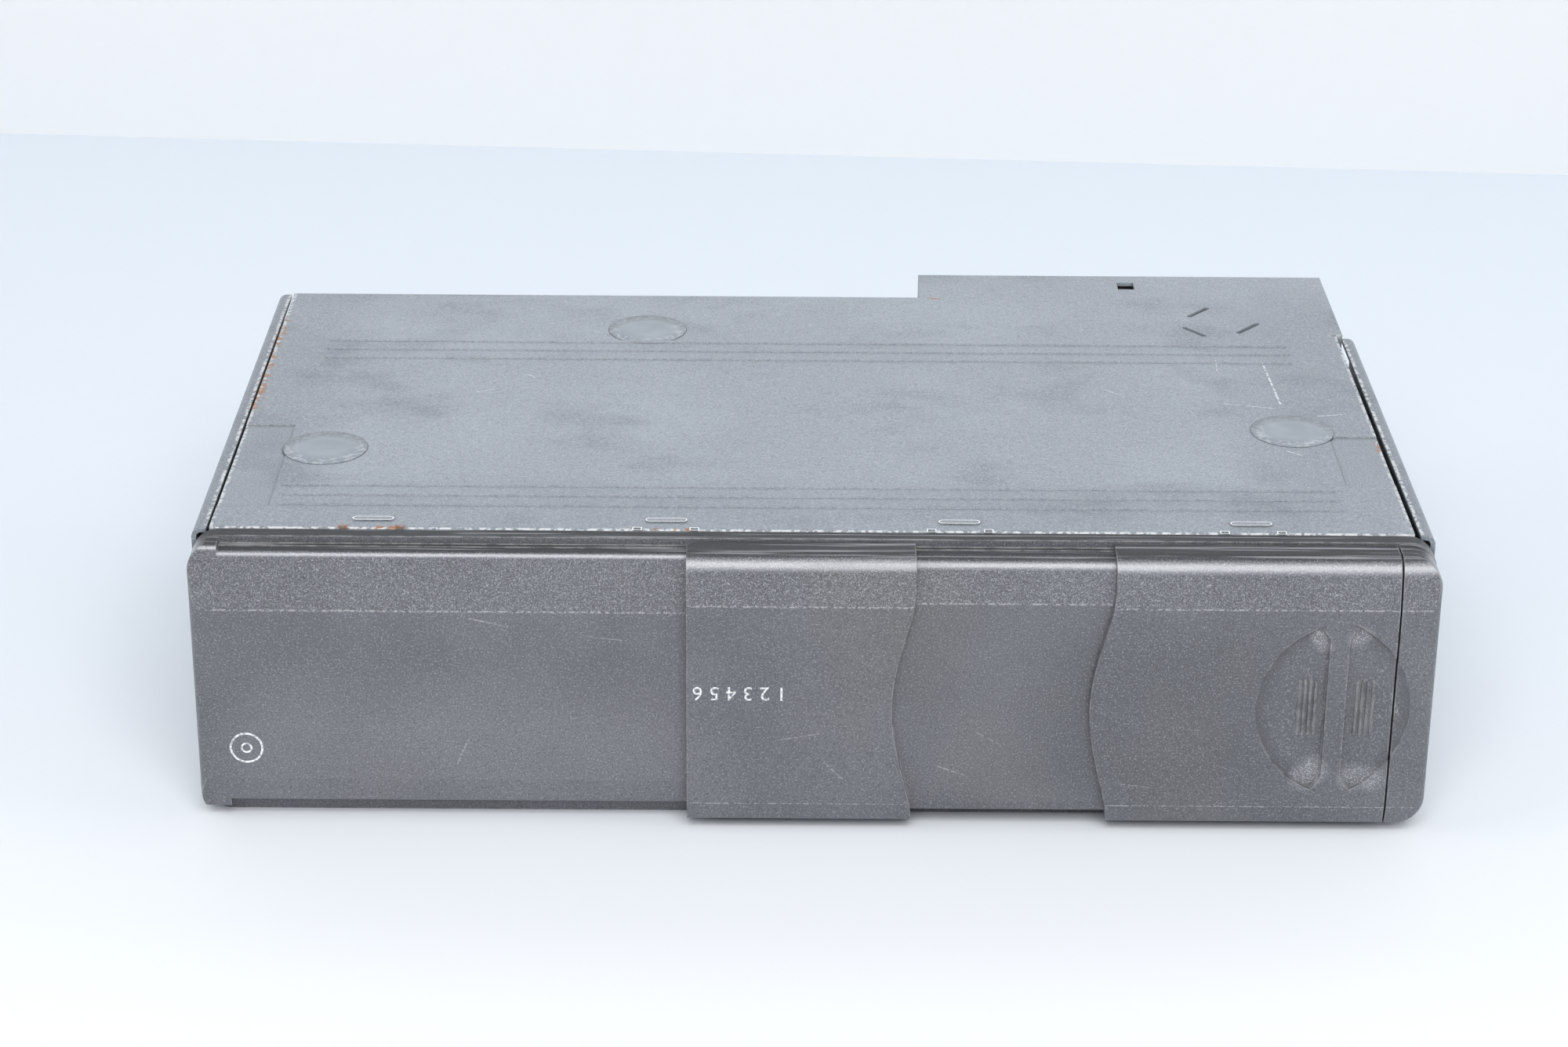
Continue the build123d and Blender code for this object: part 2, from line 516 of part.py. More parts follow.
def base_plate():
    """Ribbed steel base, on top here, with the rear wall and the connector roof."""
    main = block(PLATE_LEFT, PLATE_RIGHT, RIM_BACK, MAIN_BACK, PLATE_UNDER, PLATE_TOP)
    rear = block(REAR_LEFT, REAR_RIGHT, REAR_FRONT, REAR_BACK, PLATE_UNDER, PLATE_TOP)
    plate = main + rear
    front_edge = plate.edges().filter_by(Axis.X).group_by(Axis.Y)[0].sort_by(Axis.Z)[-1]
    plate = fillet(front_edge, SHEET * 0.8)
    plate = plate - block(NOTCH_LEFT, REAR_RIGHT + 1, REAR_FRONT - NOTCH_WIDTH, REAR_FRONT,
                          PLATE_UNDER - 1, PLATE_TOP + 1)
    for y in RIB_ROWS:
        bead = chamfer(block(RIB_LEFT_END, RIB_RIGHT_END, y - BEAD_WIDTH / 2, y + BEAD_WIDTH / 2,
                             PLATE_TOP - 0.2, PLATE_TOP + BEAD_RISE).edges().group_by(Axis.Z)[-1],
                       BEAD_RISE * 0.8)
        plate = plate + bead
    for x in HOOKS:
        slot = Pos(x, HOOK_SLOT_ROW) * SlotOverall(HOOK_SLOT, HOOK_SLOT_WIDTH)
        plate = plate + extrude(Plane.XY.offset(PLATE_TOP - 0.2) * slot, amount=0.45)
        for side in (-1, 1):
            notch = x + side * HOOK_HALF
            plate = plate - block(notch - HOOK_NOTCH, notch + HOOK_NOTCH, RIM_BACK - 1, RIM_BACK + 0.9,
                                  PLATE_UNDER - 1, PLATE_TOP + 1)
    for x, y in STICKERS:
        plate = plate - disc(x, y, PLATE_UNDER - 1, PLATE_TOP + 1, ACCESS_RADIUS)
    plate = plate - block(*REAR_HOLE, PLATE_UNDER - 1, PLATE_TOP + 1)
    for pad in PADS:
        plate = plate - block(*pad, PLATE_TOP - PAD_SINK, PLATE_TOP + 1)
    for start, end in LANCED_SLOTS:
        x0, y0 = REAR_RIGHT - start[0], MAIN_BACK - start[1]
        x1, y1 = REAR_RIGHT - end[0], MAIN_BACK - end[1]
        length = math.hypot(x1 - x0, y1 - y0)
        turn = math.degrees(math.atan2(y1 - y0, x1 - x0))
        slot = Pos((x0 + x1) / 2, (y0 + y1) / 2) * Rot(0, 0, turn) * SlotOverall(length, LANCED_WIDTH)
        plate = plate - extrude(Plane.XY.offset(PLATE_UNDER - 1) * slot, amount=SHEET + 2)
    low, high = SHEET + FIT, PLATE_TOP - SHEET / 2
    rear_wall = block(PLATE_LEFT, REAR_LEFT, MAIN_BACK - SHEET, MAIN_BACK, low, high)
    housing_wall = block(REAR_LEFT, REAR_RIGHT, REAR_BACK - SHEET, REAR_BACK, REAR_FLOOR, high)
    left_wall = block(REAR_LEFT, REAR_LEFT + SHEET, MAIN_BACK - SHEET, REAR_BACK, REAR_FLOOR, high)
    right_wall = block(REAR_RIGHT - SHEET, REAR_RIGHT, REAR_FRONT, MAIN_BACK, low, high)
    right_rear = block(REAR_RIGHT - SHEET, REAR_RIGHT, REAR_FRONT, REAR_BACK, REAR_FLOOR, high)
    x0, x1, z0, z1 = SOCKET
    socket_hole = block(x0, x1, REAR_BACK - SHEET - 1, REAR_BACK + 1, z0, z1)
    return fuse([plate, rear_wall, housing_wall, left_wall, right_wall, right_rear]) - socket_hole


def stickers():
    """Round film seals over the three access holes, trimmed where they meet the last bead."""
    bead_back = RIB_ROWS[-1] + BEAD_WIDTH / 2
    bead = block(-HALF, HALF, RIM_BACK, bead_back, PLATE_TOP - 1, PLATE_TOP + 1)
    seals = []
    for x, y in STICKERS:
        seal = disc(x, y, PLATE_TOP, PLATE_TOP + STICKER_THICK, STICKER_RADIUS)
        if y > bead_back:
            seal = seal - bead
        seals.append(seal)
    return seals


def side_nuts():
    """Press-in M5 nuts behind the holes in both side walls, for the mounting brackets."""
    nuts = []
    for y in NUT_ROWS:
        for side in (-1, 1):
            inner = side * (HALF - SHEET)
            ends = sorted((inner, inner - side * NUT_LENGTH))
            nut = rod_x(ends[0], ends[1], y, NUT_LEVEL, NUT_RADIUS)
            nuts.append(nut - rod_x(ends[0] - 1, ends[1] + 1, y, NUT_LEVEL, NUT_BORE))
    return nuts


def tooth_points(teeth, module, turn):
    """Outline of a spur gear with straight flanks and a little backlash."""
    pitch = 2 * math.pi / teeth
    root = teeth * module / 2 - 1.1 * module
    tip = teeth * module / 2 + 0.8 * module
    points = []
    for i in range(teeth):
        middle = math.radians(turn) + i * pitch
        for radius, share in ((root, -0.30), (tip, -0.12), (tip, 0.12), (root, 0.30)):
            angle = middle + share * pitch
            points.append((radius * math.cos(angle), radius * math.sin(angle)))
    return points


def gear(x, y, z0, z1, teeth, module, turn=0.0):
    """A spur gear between two levels, one tooth pointing along the angle turn."""
    outline = make_face(Polyline(*tooth_points(teeth, module, turn), close=True))
    return extrude(Plane.XY.offset(z0) * Pos(x, y) * outline, amount=z1 - z0)


def rack(x0, x1, x_gap, y_pitch, side, z0, z1, module, back):
    """A toothed bar along X with a gap at x_gap; its teeth point to +Y or -Y."""
    pitch = math.pi * module
    root = y_pitch - side * 1.1 * module
    tip = y_pitch + side * 0.8 * module
    bar = block(x0, x1, *sorted((root, root - side * back)), z0, z1)
    first = math.ceil((x0 - x_gap) / pitch)
    last = math.floor((x1 - x_gap) / pitch)
    for i in range(first, last):
        middle = x_gap + (i + 0.5) * pitch
        tooth = make_face(Polyline((middle - 0.30 * pitch, root - side * 0.1),
                                   (middle - 0.12 * pitch, tip), (middle + 0.12 * pitch, tip),
                                   (middle + 0.30 * pitch, root - side * 0.1), close=True))
        bar = bar + extrude(Plane.XY.offset(z0) * tooth, amount=z1 - z0)
    return bar


def magazine_shell():
    """Magazine open on the left, with slotted rails front and back that carry the trays."""
    wall = MAGAZINE_WALL
    shell = block(MAGAZINE_LEFT, MAGAZINE_RIGHT, MAGAZINE_FRONT, MAGAZINE_BACK,
                  MAGAZINE_BOTTOM, MAGAZINE_TOP)
    shell = fillet(shell.edges().filter_by(Axis.Z).group_by(Axis.X)[-1], 3.0)
    shell = shell - block(MAGAZINE_LEFT - 1, MAGAZINE_RIGHT - wall, MAGAZINE_FRONT + wall,
                          MAGAZINE_BACK - wall, MAGAZINE_BOTTOM + wall, MAGAZINE_TOP - wall)
    for y0, y1 in ((MAGAZINE_FRONT + wall, MAGAZINE_FRONT + wall + RAIL_DEPTH),
                   (MAGAZINE_BACK - wall - RAIL_DEPTH, MAGAZINE_BACK - wall)):
        rail = block(MAGAZINE_LEFT, MAGAZINE_RIGHT - wall, y0, y1,
                     MAGAZINE_BOTTOM + wall, MAGAZINE_TOP - wall)
        for level in TRAY_LEVELS:
            half = TRAY_THICK / 2 + GAP
            rail = rail - block(MAGAZINE_LEFT - 1, MAGAZINE_RIGHT - wall + 1, y0 - 1, y1 + 1,
                                level - half, level + half)
        shell = shell + rail
    finger = disc(MAGAZINE_LEFT, DISC_Y, MAGAZINE_TOP - wall - 1, MAGAZINE_TOP + 1, 14.0)
    return shell - finger


def tray(level):
    """Disc tray: a thin plate with a round recess and a slot for turntable and pickup."""
    z0, z1 = level - TRAY_THICK / 2, level + TRAY_THICK / 2
    plate = block(TRAY_LEFT, TRAY_LEFT + TRAY_LENGTH, TRAY_FRONT, TRAY_BACK, z0, z1)
    plate = chamfer(plate.edges().filter_by(Axis.Z), 5.0)
    plate = plate - disc(DISC_X, DISC_Y, z0 - 1, z0 + DISC_STEP, DISC_RECESS)
    plate = plate - block(TRAY_LEFT - 1, DISC_X, DISC_Y - TRAY_SLOT, DISC_Y + TRAY_SLOT, z0 - 1, z1 + 1)
    return plate - disc(DISC_X, DISC_Y, z0 - 1, z1 + 1, TRAY_SLOT)


def chassis():
    """Inner sheet chassis: floor, front and rear wall with upright slots for the lift pins."""
    sheet = INNER_SHEET
    floor = block(CHASSIS_LEFT, CAGE_LEFT + 6, FRONT_WALL, REAR_WALL + sheet, CHASSIS_FLOOR,
                  CHASSIS_FLOOR + sheet)
    front = block(CHASSIS_LEFT, CHASSIS_RIGHT, FRONT_WALL, FRONT_WALL + sheet, CHASSIS_FLOOR, PLATE_UNDER)
    rear = block(CHASSIS_LEFT, CAGE_RIGHT + sheet, REAR_WALL, REAR_WALL + sheet, CHASSIS_FLOOR, PLATE_UNDER)
    front_flange = block(CHASSIS_LEFT, CHASSIS_RIGHT, FRONT_WALL, FRONT_WALL + CHASSIS_FLANGE,
                         PLATE_UNDER - sheet, PLATE_UNDER)
    rear_flange = block(CHASSIS_LEFT, CAGE_RIGHT + sheet, REAR_WALL - CHASSIS_FLANGE, REAR_WALL + sheet,
                        PLATE_UNDER - sheet, PLATE_UNDER)
    left = block(CHASSIS_LEFT, CHASSIS_LEFT + sheet, FRONT_WALL, REAR_WALL, CHASSIS_FLOOR, CHASSIS_SIDE)
    frame = fuse([floor, front, rear, left, front_flange, rear_flange])
    half = PIN_RADIUS + PIN_PLAY
    for x in PIN_PLACES:
        slot = Pos(x, PIN_LEVEL - LIFT_TRAVEL / 2) * SlotOverall(LIFT_TRAVEL + 2 * half, 2 * half, 90)
        frame = frame - along_y(slot, FRONT_WALL - 1, FRONT_WALL + sheet + 0.1)
        frame = frame - along_y(slot, REAR_WALL - 0.1, REAR_WALL + sheet + 1)
    opening = block(CHASSIS_LEFT + 14, PINION_X - 26, DISC_Y - CUTOUT_INSET, DISC_Y + CUTOUT_INSET,
                    0, CHASSIS_FLOOR + 2)
    axle = disc(PINION_X, RACK_PITCH_Y + PINION_TEETH * RACK_MODULE / 2, CHASSIS_FLOOR,
                WHEEL_LOW + WHEEL_THICK + 0.4, AXLE_RADIUS)
    return frame - opening + axle


def magazine_cage():
    """Sheet tunnel that guides the magazine, open to the front and to the left."""
    sheet = INNER_SHEET
    top = MAGAZINE_TOP + GAP
    low = MAGAZINE_BOTTOM - GAP - sheet
    roof = block(CAGE_LEFT, CAGE_RIGHT + sheet, CAGE_FRONT, REAR_WALL, top, top + sheet)
    floor = block(CAGE_LEFT, CAGE_RIGHT + sheet, CAGE_FRONT, REAR_WALL, low, low + sheet)
    side = block(CAGE_RIGHT, CAGE_RIGHT + sheet, CAGE_FRONT, REAR_WALL, low, top + sheet)
    cage = roof + floor + side
    for place in CAGE_CUTOUTS:
        x = CAGE_LEFT + place
        cage = cage - block(x - CUTOUT_HALF, x + CUTOUT_HALF, DISC_Y - CUTOUT_INSET,
                            DISC_Y + CUTOUT_INSET, low - 1, low + sheet + 1)
    button_x0, button_x1, button_z0, button_z1 = BUTTON
    pocket = BUTTON_TRAVEL + GAP
    guide = block(button_x0 - 1, button_x1 + 1, SPRING_SEAT, SPRING_SEAT + pocket + 1,
                  top + sheet, button_z1)
    guide = guide - block(button_x0 + STEM_INSET - GAP, button_x1 - STEM_INSET + GAP, SPRING_SEAT - 1,
                          SPRING_SEAT + pocket + 2, top, button_z0 + STEM_THICK + GAP)
    guide = guide - rod_y((button_x0 + button_x1) / 2, SPRING_SEAT - 1, SPRING_SEAT + pocket,
                          SPRING_LEVEL, SPRING_RADIUS + GAP)
    cage = cage + guide
    post = disc(LEVER_X, LEVER_Y, top + sheet - 0.1, top + sheet + 2.0, AXLE_RADIUS + 0.5)
    return cage + post


def cam_slide():
    """U-shaped slide with two sloping slots on each side and a rack on its bridge."""
    walls = []
    half = PIN_RADIUS + PIN_PLAY
    for y in (CAM_FRONT, CAM_REAR):
        wall = block(CAM_LEFT, CAM_RIGHT, y, y + CAM_SHEET, CAM_LOW, CAM_HIGH)
        for x in PIN_PLACES:
            ends = ((x, PIN_LEVEL), (x + CAM_TRAVEL, PIN_LEVEL - LIFT_TRAVEL))
            middle = ((ends[0][0] + ends[1][0]) / 2, (ends[0][1] + ends[1][1]) / 2)
            length = math.hypot(CAM_TRAVEL, LIFT_TRAVEL) + 2 * half
            slope = math.degrees(math.atan2(-LIFT_TRAVEL, CAM_TRAVEL))
            slot = Pos(*middle) * SlotOverall(length, 2 * half, slope)
            wall = wall - along_y(slot, y - 1, y + CAM_SHEET + 1)
        walls.append(wall + block(CAM_LEFT, CAM_LEFT + CAM_LEG, y, y + CAM_SHEET, CAM_BRIDGE, CAM_LOW))
    bridge = block(CAM_LEFT, CAM_LEFT + CAM_LEG, CAM_FRONT, CAM_REAR + CAM_SHEET,
                   CAM_BRIDGE, CAM_BRIDGE + CAM_SHEET)
    toothed = rack(CAM_LEFT + CAM_LEG - 2, RACK_RIGHT, PINION_X, RACK_PITCH_Y, 1,
                   CAM_BRIDGE, CAM_BRIDGE + RACK_HEIGHT, RACK_MODULE, 3.0)
    return fuse([bridge, walls[0], walls[1], toothed])


def lift_gear():
    """Compound gear: a coarse pinion on the rack and a fine wheel driven by the motor."""
    y = RACK_PITCH_Y + PINION_TEETH * RACK_MODULE / 2
    pinion = gear(PINION_X, y, CAM_BRIDGE + 0.1, CAM_BRIDGE + RACK_HEIGHT, PINION_TEETH, RACK_MODULE, -90)
    hub = disc(PINION_X, y, CAM_BRIDGE + RACK_HEIGHT, WHEEL_LOW, 3.0)
    wheel = gear(PINION_X, y, WHEEL_LOW, WHEEL_LOW + WHEEL_THICK, WHEEL_TEETH, FINE_MODULE, 0)
    bore = disc(PINION_X, y, 0, WHEEL_LOW + WHEEL_THICK + 1, AXLE_RADIUS + AXLE_PLAY)
    return pinion + hub + wheel - bore


def lift_motor_place():
    y = RACK_PITCH_Y + PINION_TEETH * RACK_MODULE / 2
    return PINION_X, y + (WHEEL_TEETH + MOTOR_TEETH) * FINE_MODULE / 2


def motor(x, y, z0, z1, radius):
    """A small round motor with a boss and a bore for its shaft."""
    can = disc(x, y, z0, z1 - 0.6, radius)
    can = chamfer(can.edges().sort_by(Axis.Z)[-1], 0.6)
    boss = disc(x, y, z1 - 0.7, z1, radius * 0.35)
    return can + boss - disc(x, y, z1 - 4, z1 + 1, AXLE_RADIUS + AXLE_PLAY)


def motor_pinion(x, y, z0, z1, shaft_low, turn):
    """The motor's brass pinion with its shaft."""
    wheel = gear(x, y, z0, z1, MOTOR_TEETH, FINE_MODULE, turn)
    return wheel + disc(x, y, shaft_low, z0, AXLE_RADIUS)


def lift_frame():
    """Lifting frame: a deck with two side walls, four guide pins and the clamp hinge."""
    deck = block(DECK_LEFT, DECK_RIGHT, LIFT_FRONT, LIFT_REAR, DECK_LOW, DECK_LOW + DECK_SHEET)
    x0, x1, y0, y1 = WINDOW
    deck = deck - block(x0, x1, y0, y1, DECK_LOW - 1, DECK_LOW + 2)
    deck = deck - block(DECK_LEFT + 1.8, x0 + 1, DISC_Y - 9, DISC_Y + 9, DECK_LOW - 1, DECK_LOW + 2)
    pieces = [deck]
    for wall, pin_end in ((LIFT_FRONT, FRONT_WALL + 0.05), (LIFT_REAR - LIFT_WALL, REAR_WALL + INNER_SHEET)):
        pieces.append(block(DECK_LEFT, DECK_RIGHT, wall, wall + LIFT_WALL, DECK_LOW, LIFT_WALL_TOP))
        for x in PIN_PLACES:
            ends = sorted((wall + LIFT_WALL / 2, pin_end))
            pieces.append(rod_y(x, ends[0], ends[1], PIN_LEVEL, PIN_RADIUS))
    low = CLAMP_LEVEL - CLAMP_BARREL
    pieces.append(block(DECK_LEFT - LIFT_WALL, DECK_LEFT, DISC_Y - CLAMP_EAR, DISC_Y + CLAMP_EAR,
                        low, DECK_LOW + DECK_SHEET))
    for y in (DISC_Y - CLAMP_EAR, DISC_Y + CLAMP_EAR - EAR_THICK):
        ear = block(DECK_LEFT, CLAMP_HINGE_X, y, y + EAR_THICK, low, CLAMP_LEVEL + CLAMP_BARREL)
        pieces.append(ear + rod_y(CLAMP_HINGE_X, y, y + EAR_THICK, CLAMP_LEVEL, CLAMP_BARREL))
    pin_half = CLAMP_EAR - EAR_THICK / 2
    pieces.append(rod_y(CLAMP_HINGE_X, DISC_Y - pin_half, DISC_Y + pin_half, CLAMP_LEVEL,
                        CLAMP_BARREL * 0.55))
    return fuse(pieces)


def unit_base():
    """Pressed base of the playing unit with lugs for the guide rods."""
    plate = block(*UNIT_PLATE, UNIT_LOW, UNIT_TOP)
    plate = fillet(plate.edges().filter_by(Axis.Z), 4.0)
    plate = plate - disc(SPINDLE_X, DISC_Y, UNIT_LOW - 1, UNIT_TOP + 1, 4.0)
    plate = plate - block(UNIT_PLATE[0] - 1, SPINDLE_X - LENS_START + 8, DISC_Y - 9, DISC_Y + 9,
                          UNIT_LOW - 1, UNIT_TOP + 1)
    for x0, x1 in ROD_LUGS:
        for side in (-1, 1):
            y = DISC_Y + side * GUIDE_OFFSET
            lug = block(x0, x1, y - 2.2, y + 2.2, UNIT_TOP, GUIDE_LEVEL + 2.2)
            plate = plate + (lug - rod_x(x0 - 1, x1 + 1, y, GUIDE_LEVEL, GUIDE_RADIUS))
    axle = disc(SLED_PINION_X, SLED_RACK_Y - SLED_TEETH * FINE_MODULE / 2, UNIT_TOP,
                SLED_WHEEL_LOW + 1.6, AXLE_RADIUS)
    return plate + axle


def guide_rods():
    return [rod_x(ROD_LUGS[0][0], ROD_LUGS[1][1], DISC_Y + side * GUIDE_OFFSET, GUIDE_LEVEL,
                  GUIDE_RADIUS) for side in (-1, 1)]


def pickup_sled():
    """Optical pickup on its two rods, with the rack that moves it."""
    x = SPINDLE_X - LENS_START
    body = block(x - SLED_HALF_X + 1, x + SLED_HALF_X, DISC_Y - SLED_HALF_Y, DISC_Y + SLED_HALF_Y,
                 SLED_LOW, SLED_LOW + SLED_HEIGHT)
    body = chamfer(body.edges().filter_by(Axis.Z), 1.5)
    for side in (-1, 1):
        body = body - rod_x(x - 30, x + 30, DISC_Y + side * GUIDE_OFFSET, GUIDE_LEVEL, GUIDE_RADIUS + 0.08)
    actuator = block(x - 5, x + 5, DISC_Y - 7, DISC_Y + 7, DECK_LOW + 1.5, SLED_LOW)
    toothed = rack(SLED_PINION_X - 2.6, SLED_PINION_X + SLED_TRAVEL + 2.6, SLED_PINION_X, SLED_RACK_Y,
                   -1, SLED_LOW, SLED_LOW + 2.0, FINE_MODULE, 3.0)
    return fuse([body, actuator, toothed])


def pickup_lens():
    x = SPINDLE_X - LENS_START
    barrel = disc(x, DISC_Y, DECK_LOW - 0.2, DECK_LOW + 1.5, LENS_RADIUS)
    return chamfer(barrel.edges().sort_by(Axis.Z)[0], 0.6)


def sled_gear():
    """Compound gear between the sled rack and the sled motor."""
    y = SLED_RACK_Y - SLED_TEETH * FINE_MODULE / 2
    pinion = gear(SLED_PINION_X, y, SLED_LOW - 0.2, SLED_LOW + 2.2, SLED_TEETH, FINE_MODULE, 90)
    hub = disc(SLED_PINION_X, y, SLED_LOW + 2.2, SLED_WHEEL_LOW, 2.2)
    wheel = gear(SLED_PINION_X, y, SLED_WHEEL_LOW, SLED_WHEEL_LOW + 1.2, SLED_WHEEL_TEETH, FINE_MODULE, 0)
    bore = disc(SLED_PINION_X, y, UNIT_TOP, SLED_WHEEL_LOW + 2, AXLE_RADIUS + AXLE_PLAY)
    return pinion + hub + wheel - bore


def sled_motor_place():
    y = SLED_RACK_Y - SLED_TEETH * FINE_MODULE / 2
    return SLED_PINION_X, y - (SLED_WHEEL_TEETH + MOTOR_TEETH) * FINE_MODULE / 2


def turntable():
    """Turntable with its centring cone, on the spindle of the motor."""
    flange = disc(SPINDLE_X, DISC_Y, TURNTABLE_LOW, TURNTABLE_LOW + 1.0, TURNTABLE_RADIUS)
    cone = Pos(SPINDLE_X, DISC_Y, (CONE_TIP + TURNTABLE_LOW) / 2) * Cone(
        6.6, 7.4, TURNTABLE_LOW - CONE_TIP)
    spindle = disc(SPINDLE_X, DISC_Y, TURNTABLE_LOW + 1.0, SPINDLE_MOTOR_TOP - 0.5, AXLE_RADIUS)
    return flange + cone + spindle


def spindle_motor():
    can = disc(SPINDLE_X, DISC_Y, UNIT_TOP, SPINDLE_MOTOR_TOP, SPINDLE_MOTOR_RADIUS)
    can = chamfer(can.edges().sort_by(Axis.Z)[-1], 0.8)
    nose = disc(SPINDLE_X, DISC_Y, UNIT_LOW - 0.6, UNIT_TOP, 3.6)
    return can + nose - disc(SPINDLE_X, DISC_Y, UNIT_LOW - 2, SPINDLE_MOTOR_TOP + 1, AXLE_RADIUS + AXLE_PLAY)


def clamp_arm():
    """Arm that swings the clamper towards the turntable."""
    z0, z1 = CLAMP_LEVEL - CLAMP_SHEET / 2, CLAMP_LEVEL + CLAMP_SHEET / 2
    root, nose = CLAMP_HINGE_X + 1, SPINDLE_X + CLAMP_NOSE
    tip_half = CLAMP_ARM_HALF - 5.0
    outline = make_face(Polyline((root, DISC_Y - BARREL_HALF), (SPINDLE_X, DISC_Y - CLAMP_ARM_HALF),
                                 (nose, DISC_Y - tip_half), (nose, DISC_Y + tip_half),
                                 (SPINDLE_X, DISC_Y + CLAMP_ARM_HALF), (root, DISC_Y + BARREL_HALF),
                                 close=True))
    arm = extrude(Plane.XY.offset(z0) * outline, amount=z1 - z0)
    arm = arm - disc(SPINDLE_X, DISC_Y, z0 - 1, z1 + 1, CLAMPER_HUB + 0.5)
    arm = arm + rod_y(CLAMP_HINGE_X, DISC_Y - BARREL_HALF, DISC_Y + BARREL_HALF, CLAMP_LEVEL,
                      CLAMP_BARREL)
    return arm - rod_y(CLAMP_HINGE_X, DISC_Y - CLAMP_EAR, DISC_Y + CLAMP_EAR, CLAMP_LEVEL,
                       CLAMP_BARREL * 0.55 + AXLE_PLAY)


def clamper():
    """Magnetic clamper that floats in the arm."""
    low = CLAMP_LEVEL - CLAMPER_THICK / 2
    flange = (CLAMPER_THICK - CLAMP_SHEET) / 2 - 0.15
    lower = disc(SPINDLE_X, DISC_Y, low, low + flange, CLAMPER_RADIUS)
    hub = disc(SPINDLE_X, DISC_Y, low, low + CLAMPER_THICK, CLAMPER_HUB)
    upper = disc(SPINDLE_X, DISC_Y, low + CLAMPER_THICK - flange, low + CLAMPER_THICK, CLAMPER_RADIUS)
    return lower + hub + upper


def eject_button():
    """Push button beside the magazine, with its long stem."""
    x0, x1, z0, z1 = BUTTON
    cap = block(x0, x1, BUTTON_FRONT, BUTTON_FRONT + BUTTON_DEPTH, z0, z1)
    cap = fillet(cap.edges().filter_by(Axis.Y), 1.2)
    stem = block(x0 + STEM_INSET, x1 - STEM_INSET, BUTTON_FRONT + BUTTON_DEPTH, STEM_BACK,
                 z0, z0 + STEM_THICK)
    return cap + stem


def eject_lever():
    """Bell crank that passes the push of the button on to the ejector."""
    base = CAGE_ROOF
    middle = (BUTTON[0] + BUTTON[1]) / 2
    arm = make_face(Polyline((LEVER_X - 3, LEVER_Y - 2), (middle - 2, STEM_BACK + GAP),
                             (middle + 2, STEM_BACK + GAP), (LEVER_X + 3, LEVER_Y + 2),
                             (LEVER_X - 8, LEVER_Y + 16), (LEVER_X - 12, LEVER_Y + 14), close=True))
    lever = extrude(Plane.XY.offset(base + 0.2) * arm, amount=1.4)
    return lever - disc(LEVER_X, LEVER_Y, base, base + 3, AXLE_RADIUS + 0.5 + AXLE_PLAY)


def eject_spring():
    """Small compression spring between the button and its pocket, drawn as its sleeve."""
    middle = (BUTTON[0] + BUTTON[1]) / 2
    sleeve = rod_y(middle, BUTTON_FRONT + BUTTON_DEPTH, SPRING_SEAT, SPRING_LEVEL, SPRING_RADIUS)
    return sleeve - rod_y(middle, BUTTON_FRONT, SPRING_SEAT + 1, SPRING_LEVEL,
                          SPRING_RADIUS - SPRING_WIRE)


def main_board():
    x0, x1, y0, y1 = BOARD
    board = block(x0, x1, y0, y1, BOARD_LOW, BOARD_LOW + BOARD_THICK)
    return chamfer(board.edges().filter_by(Axis.Z), 3.0)


def board_posts():
    x0, x1, y0, y1 = BOARD
    hexagon = RegularPolygon(POST_RADIUS, 6)
    post = extrude(Plane.XY.offset(BOARD_LOW + BOARD_THICK) * hexagon, amount=POST_LENGTH)
    return [Pos(x, y, 0) * post
            for x in (x0 + POST_INSET, x1 - POST_INSET) for y in (y0 + POST_INSET, y1 - POST_INSET)]


def board_parts():
    """Chips, capacitors and connectors on the board's component side, which faces down."""
    parts = []
    left, front, back = BOARD[0], BOARD[2], BOARD[3]
    for place_x, place_y, wide, deep in CHIPS:
        x, y = left + place_x, front + place_y
        parts.append(block(x - wide / 2, x + wide / 2, y - deep / 2, y + deep / 2, BOARD_LOW - 1.8, BOARD_LOW))
    for place_x, place_y, radius in CAPACITORS:
        parts.append(disc(left + place_x, back - place_y, BOARD_LOW - 6.4, BOARD_LOW, radius))
    for place_x, place_y in PLUGS:
        x, y = left + place_x, front + place_y
        parts.append(block(x - 2.5, x + 2.5, y - 8, y + 8, BOARD_LOW - 5.5, BOARD_LOW))
    return parts


def rear_housing():
    """Lower shell behind the case that holds the connector."""
    floor = block(REAR_LEFT + SHEET, REAR_RIGHT - SHEET, MAIN_BACK - SHEET, REAR_BACK - SHEET,
                  REAR_FLOOR, REAR_FLOOR + SHEET)
    wall = block(REAR_LEFT, REAR_RIGHT - SHEET, MAIN_BACK - SHEET, MAIN_BACK, SHEET + FIT, REAR_FLOOR)
    return floor + wall


def rear_socket():
    """Multi-pole socket in the rear wall of the connector housing."""
    x0, x1, z0, z1 = SOCKET
    wall = SOCKET_WALL
    body = block(x0, x1, REAR_BACK - SOCKET_DEPTH, REAR_BACK, z0, z1)
    body = body - block(x0 + wall, x1 - wall, REAR_BACK - SOCKET_DEPTH + wall, REAR_BACK + 1,
                        z0 + wall, z1 - wall)
    flange = block(x0 - 2, x1 + 2, REAR_BACK - SHEET - 1, REAR_BACK - SHEET, z0 - 2, z1 + 2)
    return body + (flange - block(x0 + wall, x1 - wall, 0, REAR_BACK + 1, z0 + wall, z1 - wall))


def socket_pins():
    x0, x1, z0, z1 = SOCKET
    pins = []
    for i in range(SOCKET_COLUMNS):
        for z in (z0 + 5.5, z1 - 5.5):
            x = x0 + (x1 - x0) * (i + 1) / (SOCKET_COLUMNS + 1)
            half = SOCKET_PIN / 2
            pins.append(block(x - half, x + half, REAR_BACK - SOCKET_DEPTH + SOCKET_WALL,
                              SOCKET_PIN_BACK, z - half, z + half))
    return pins


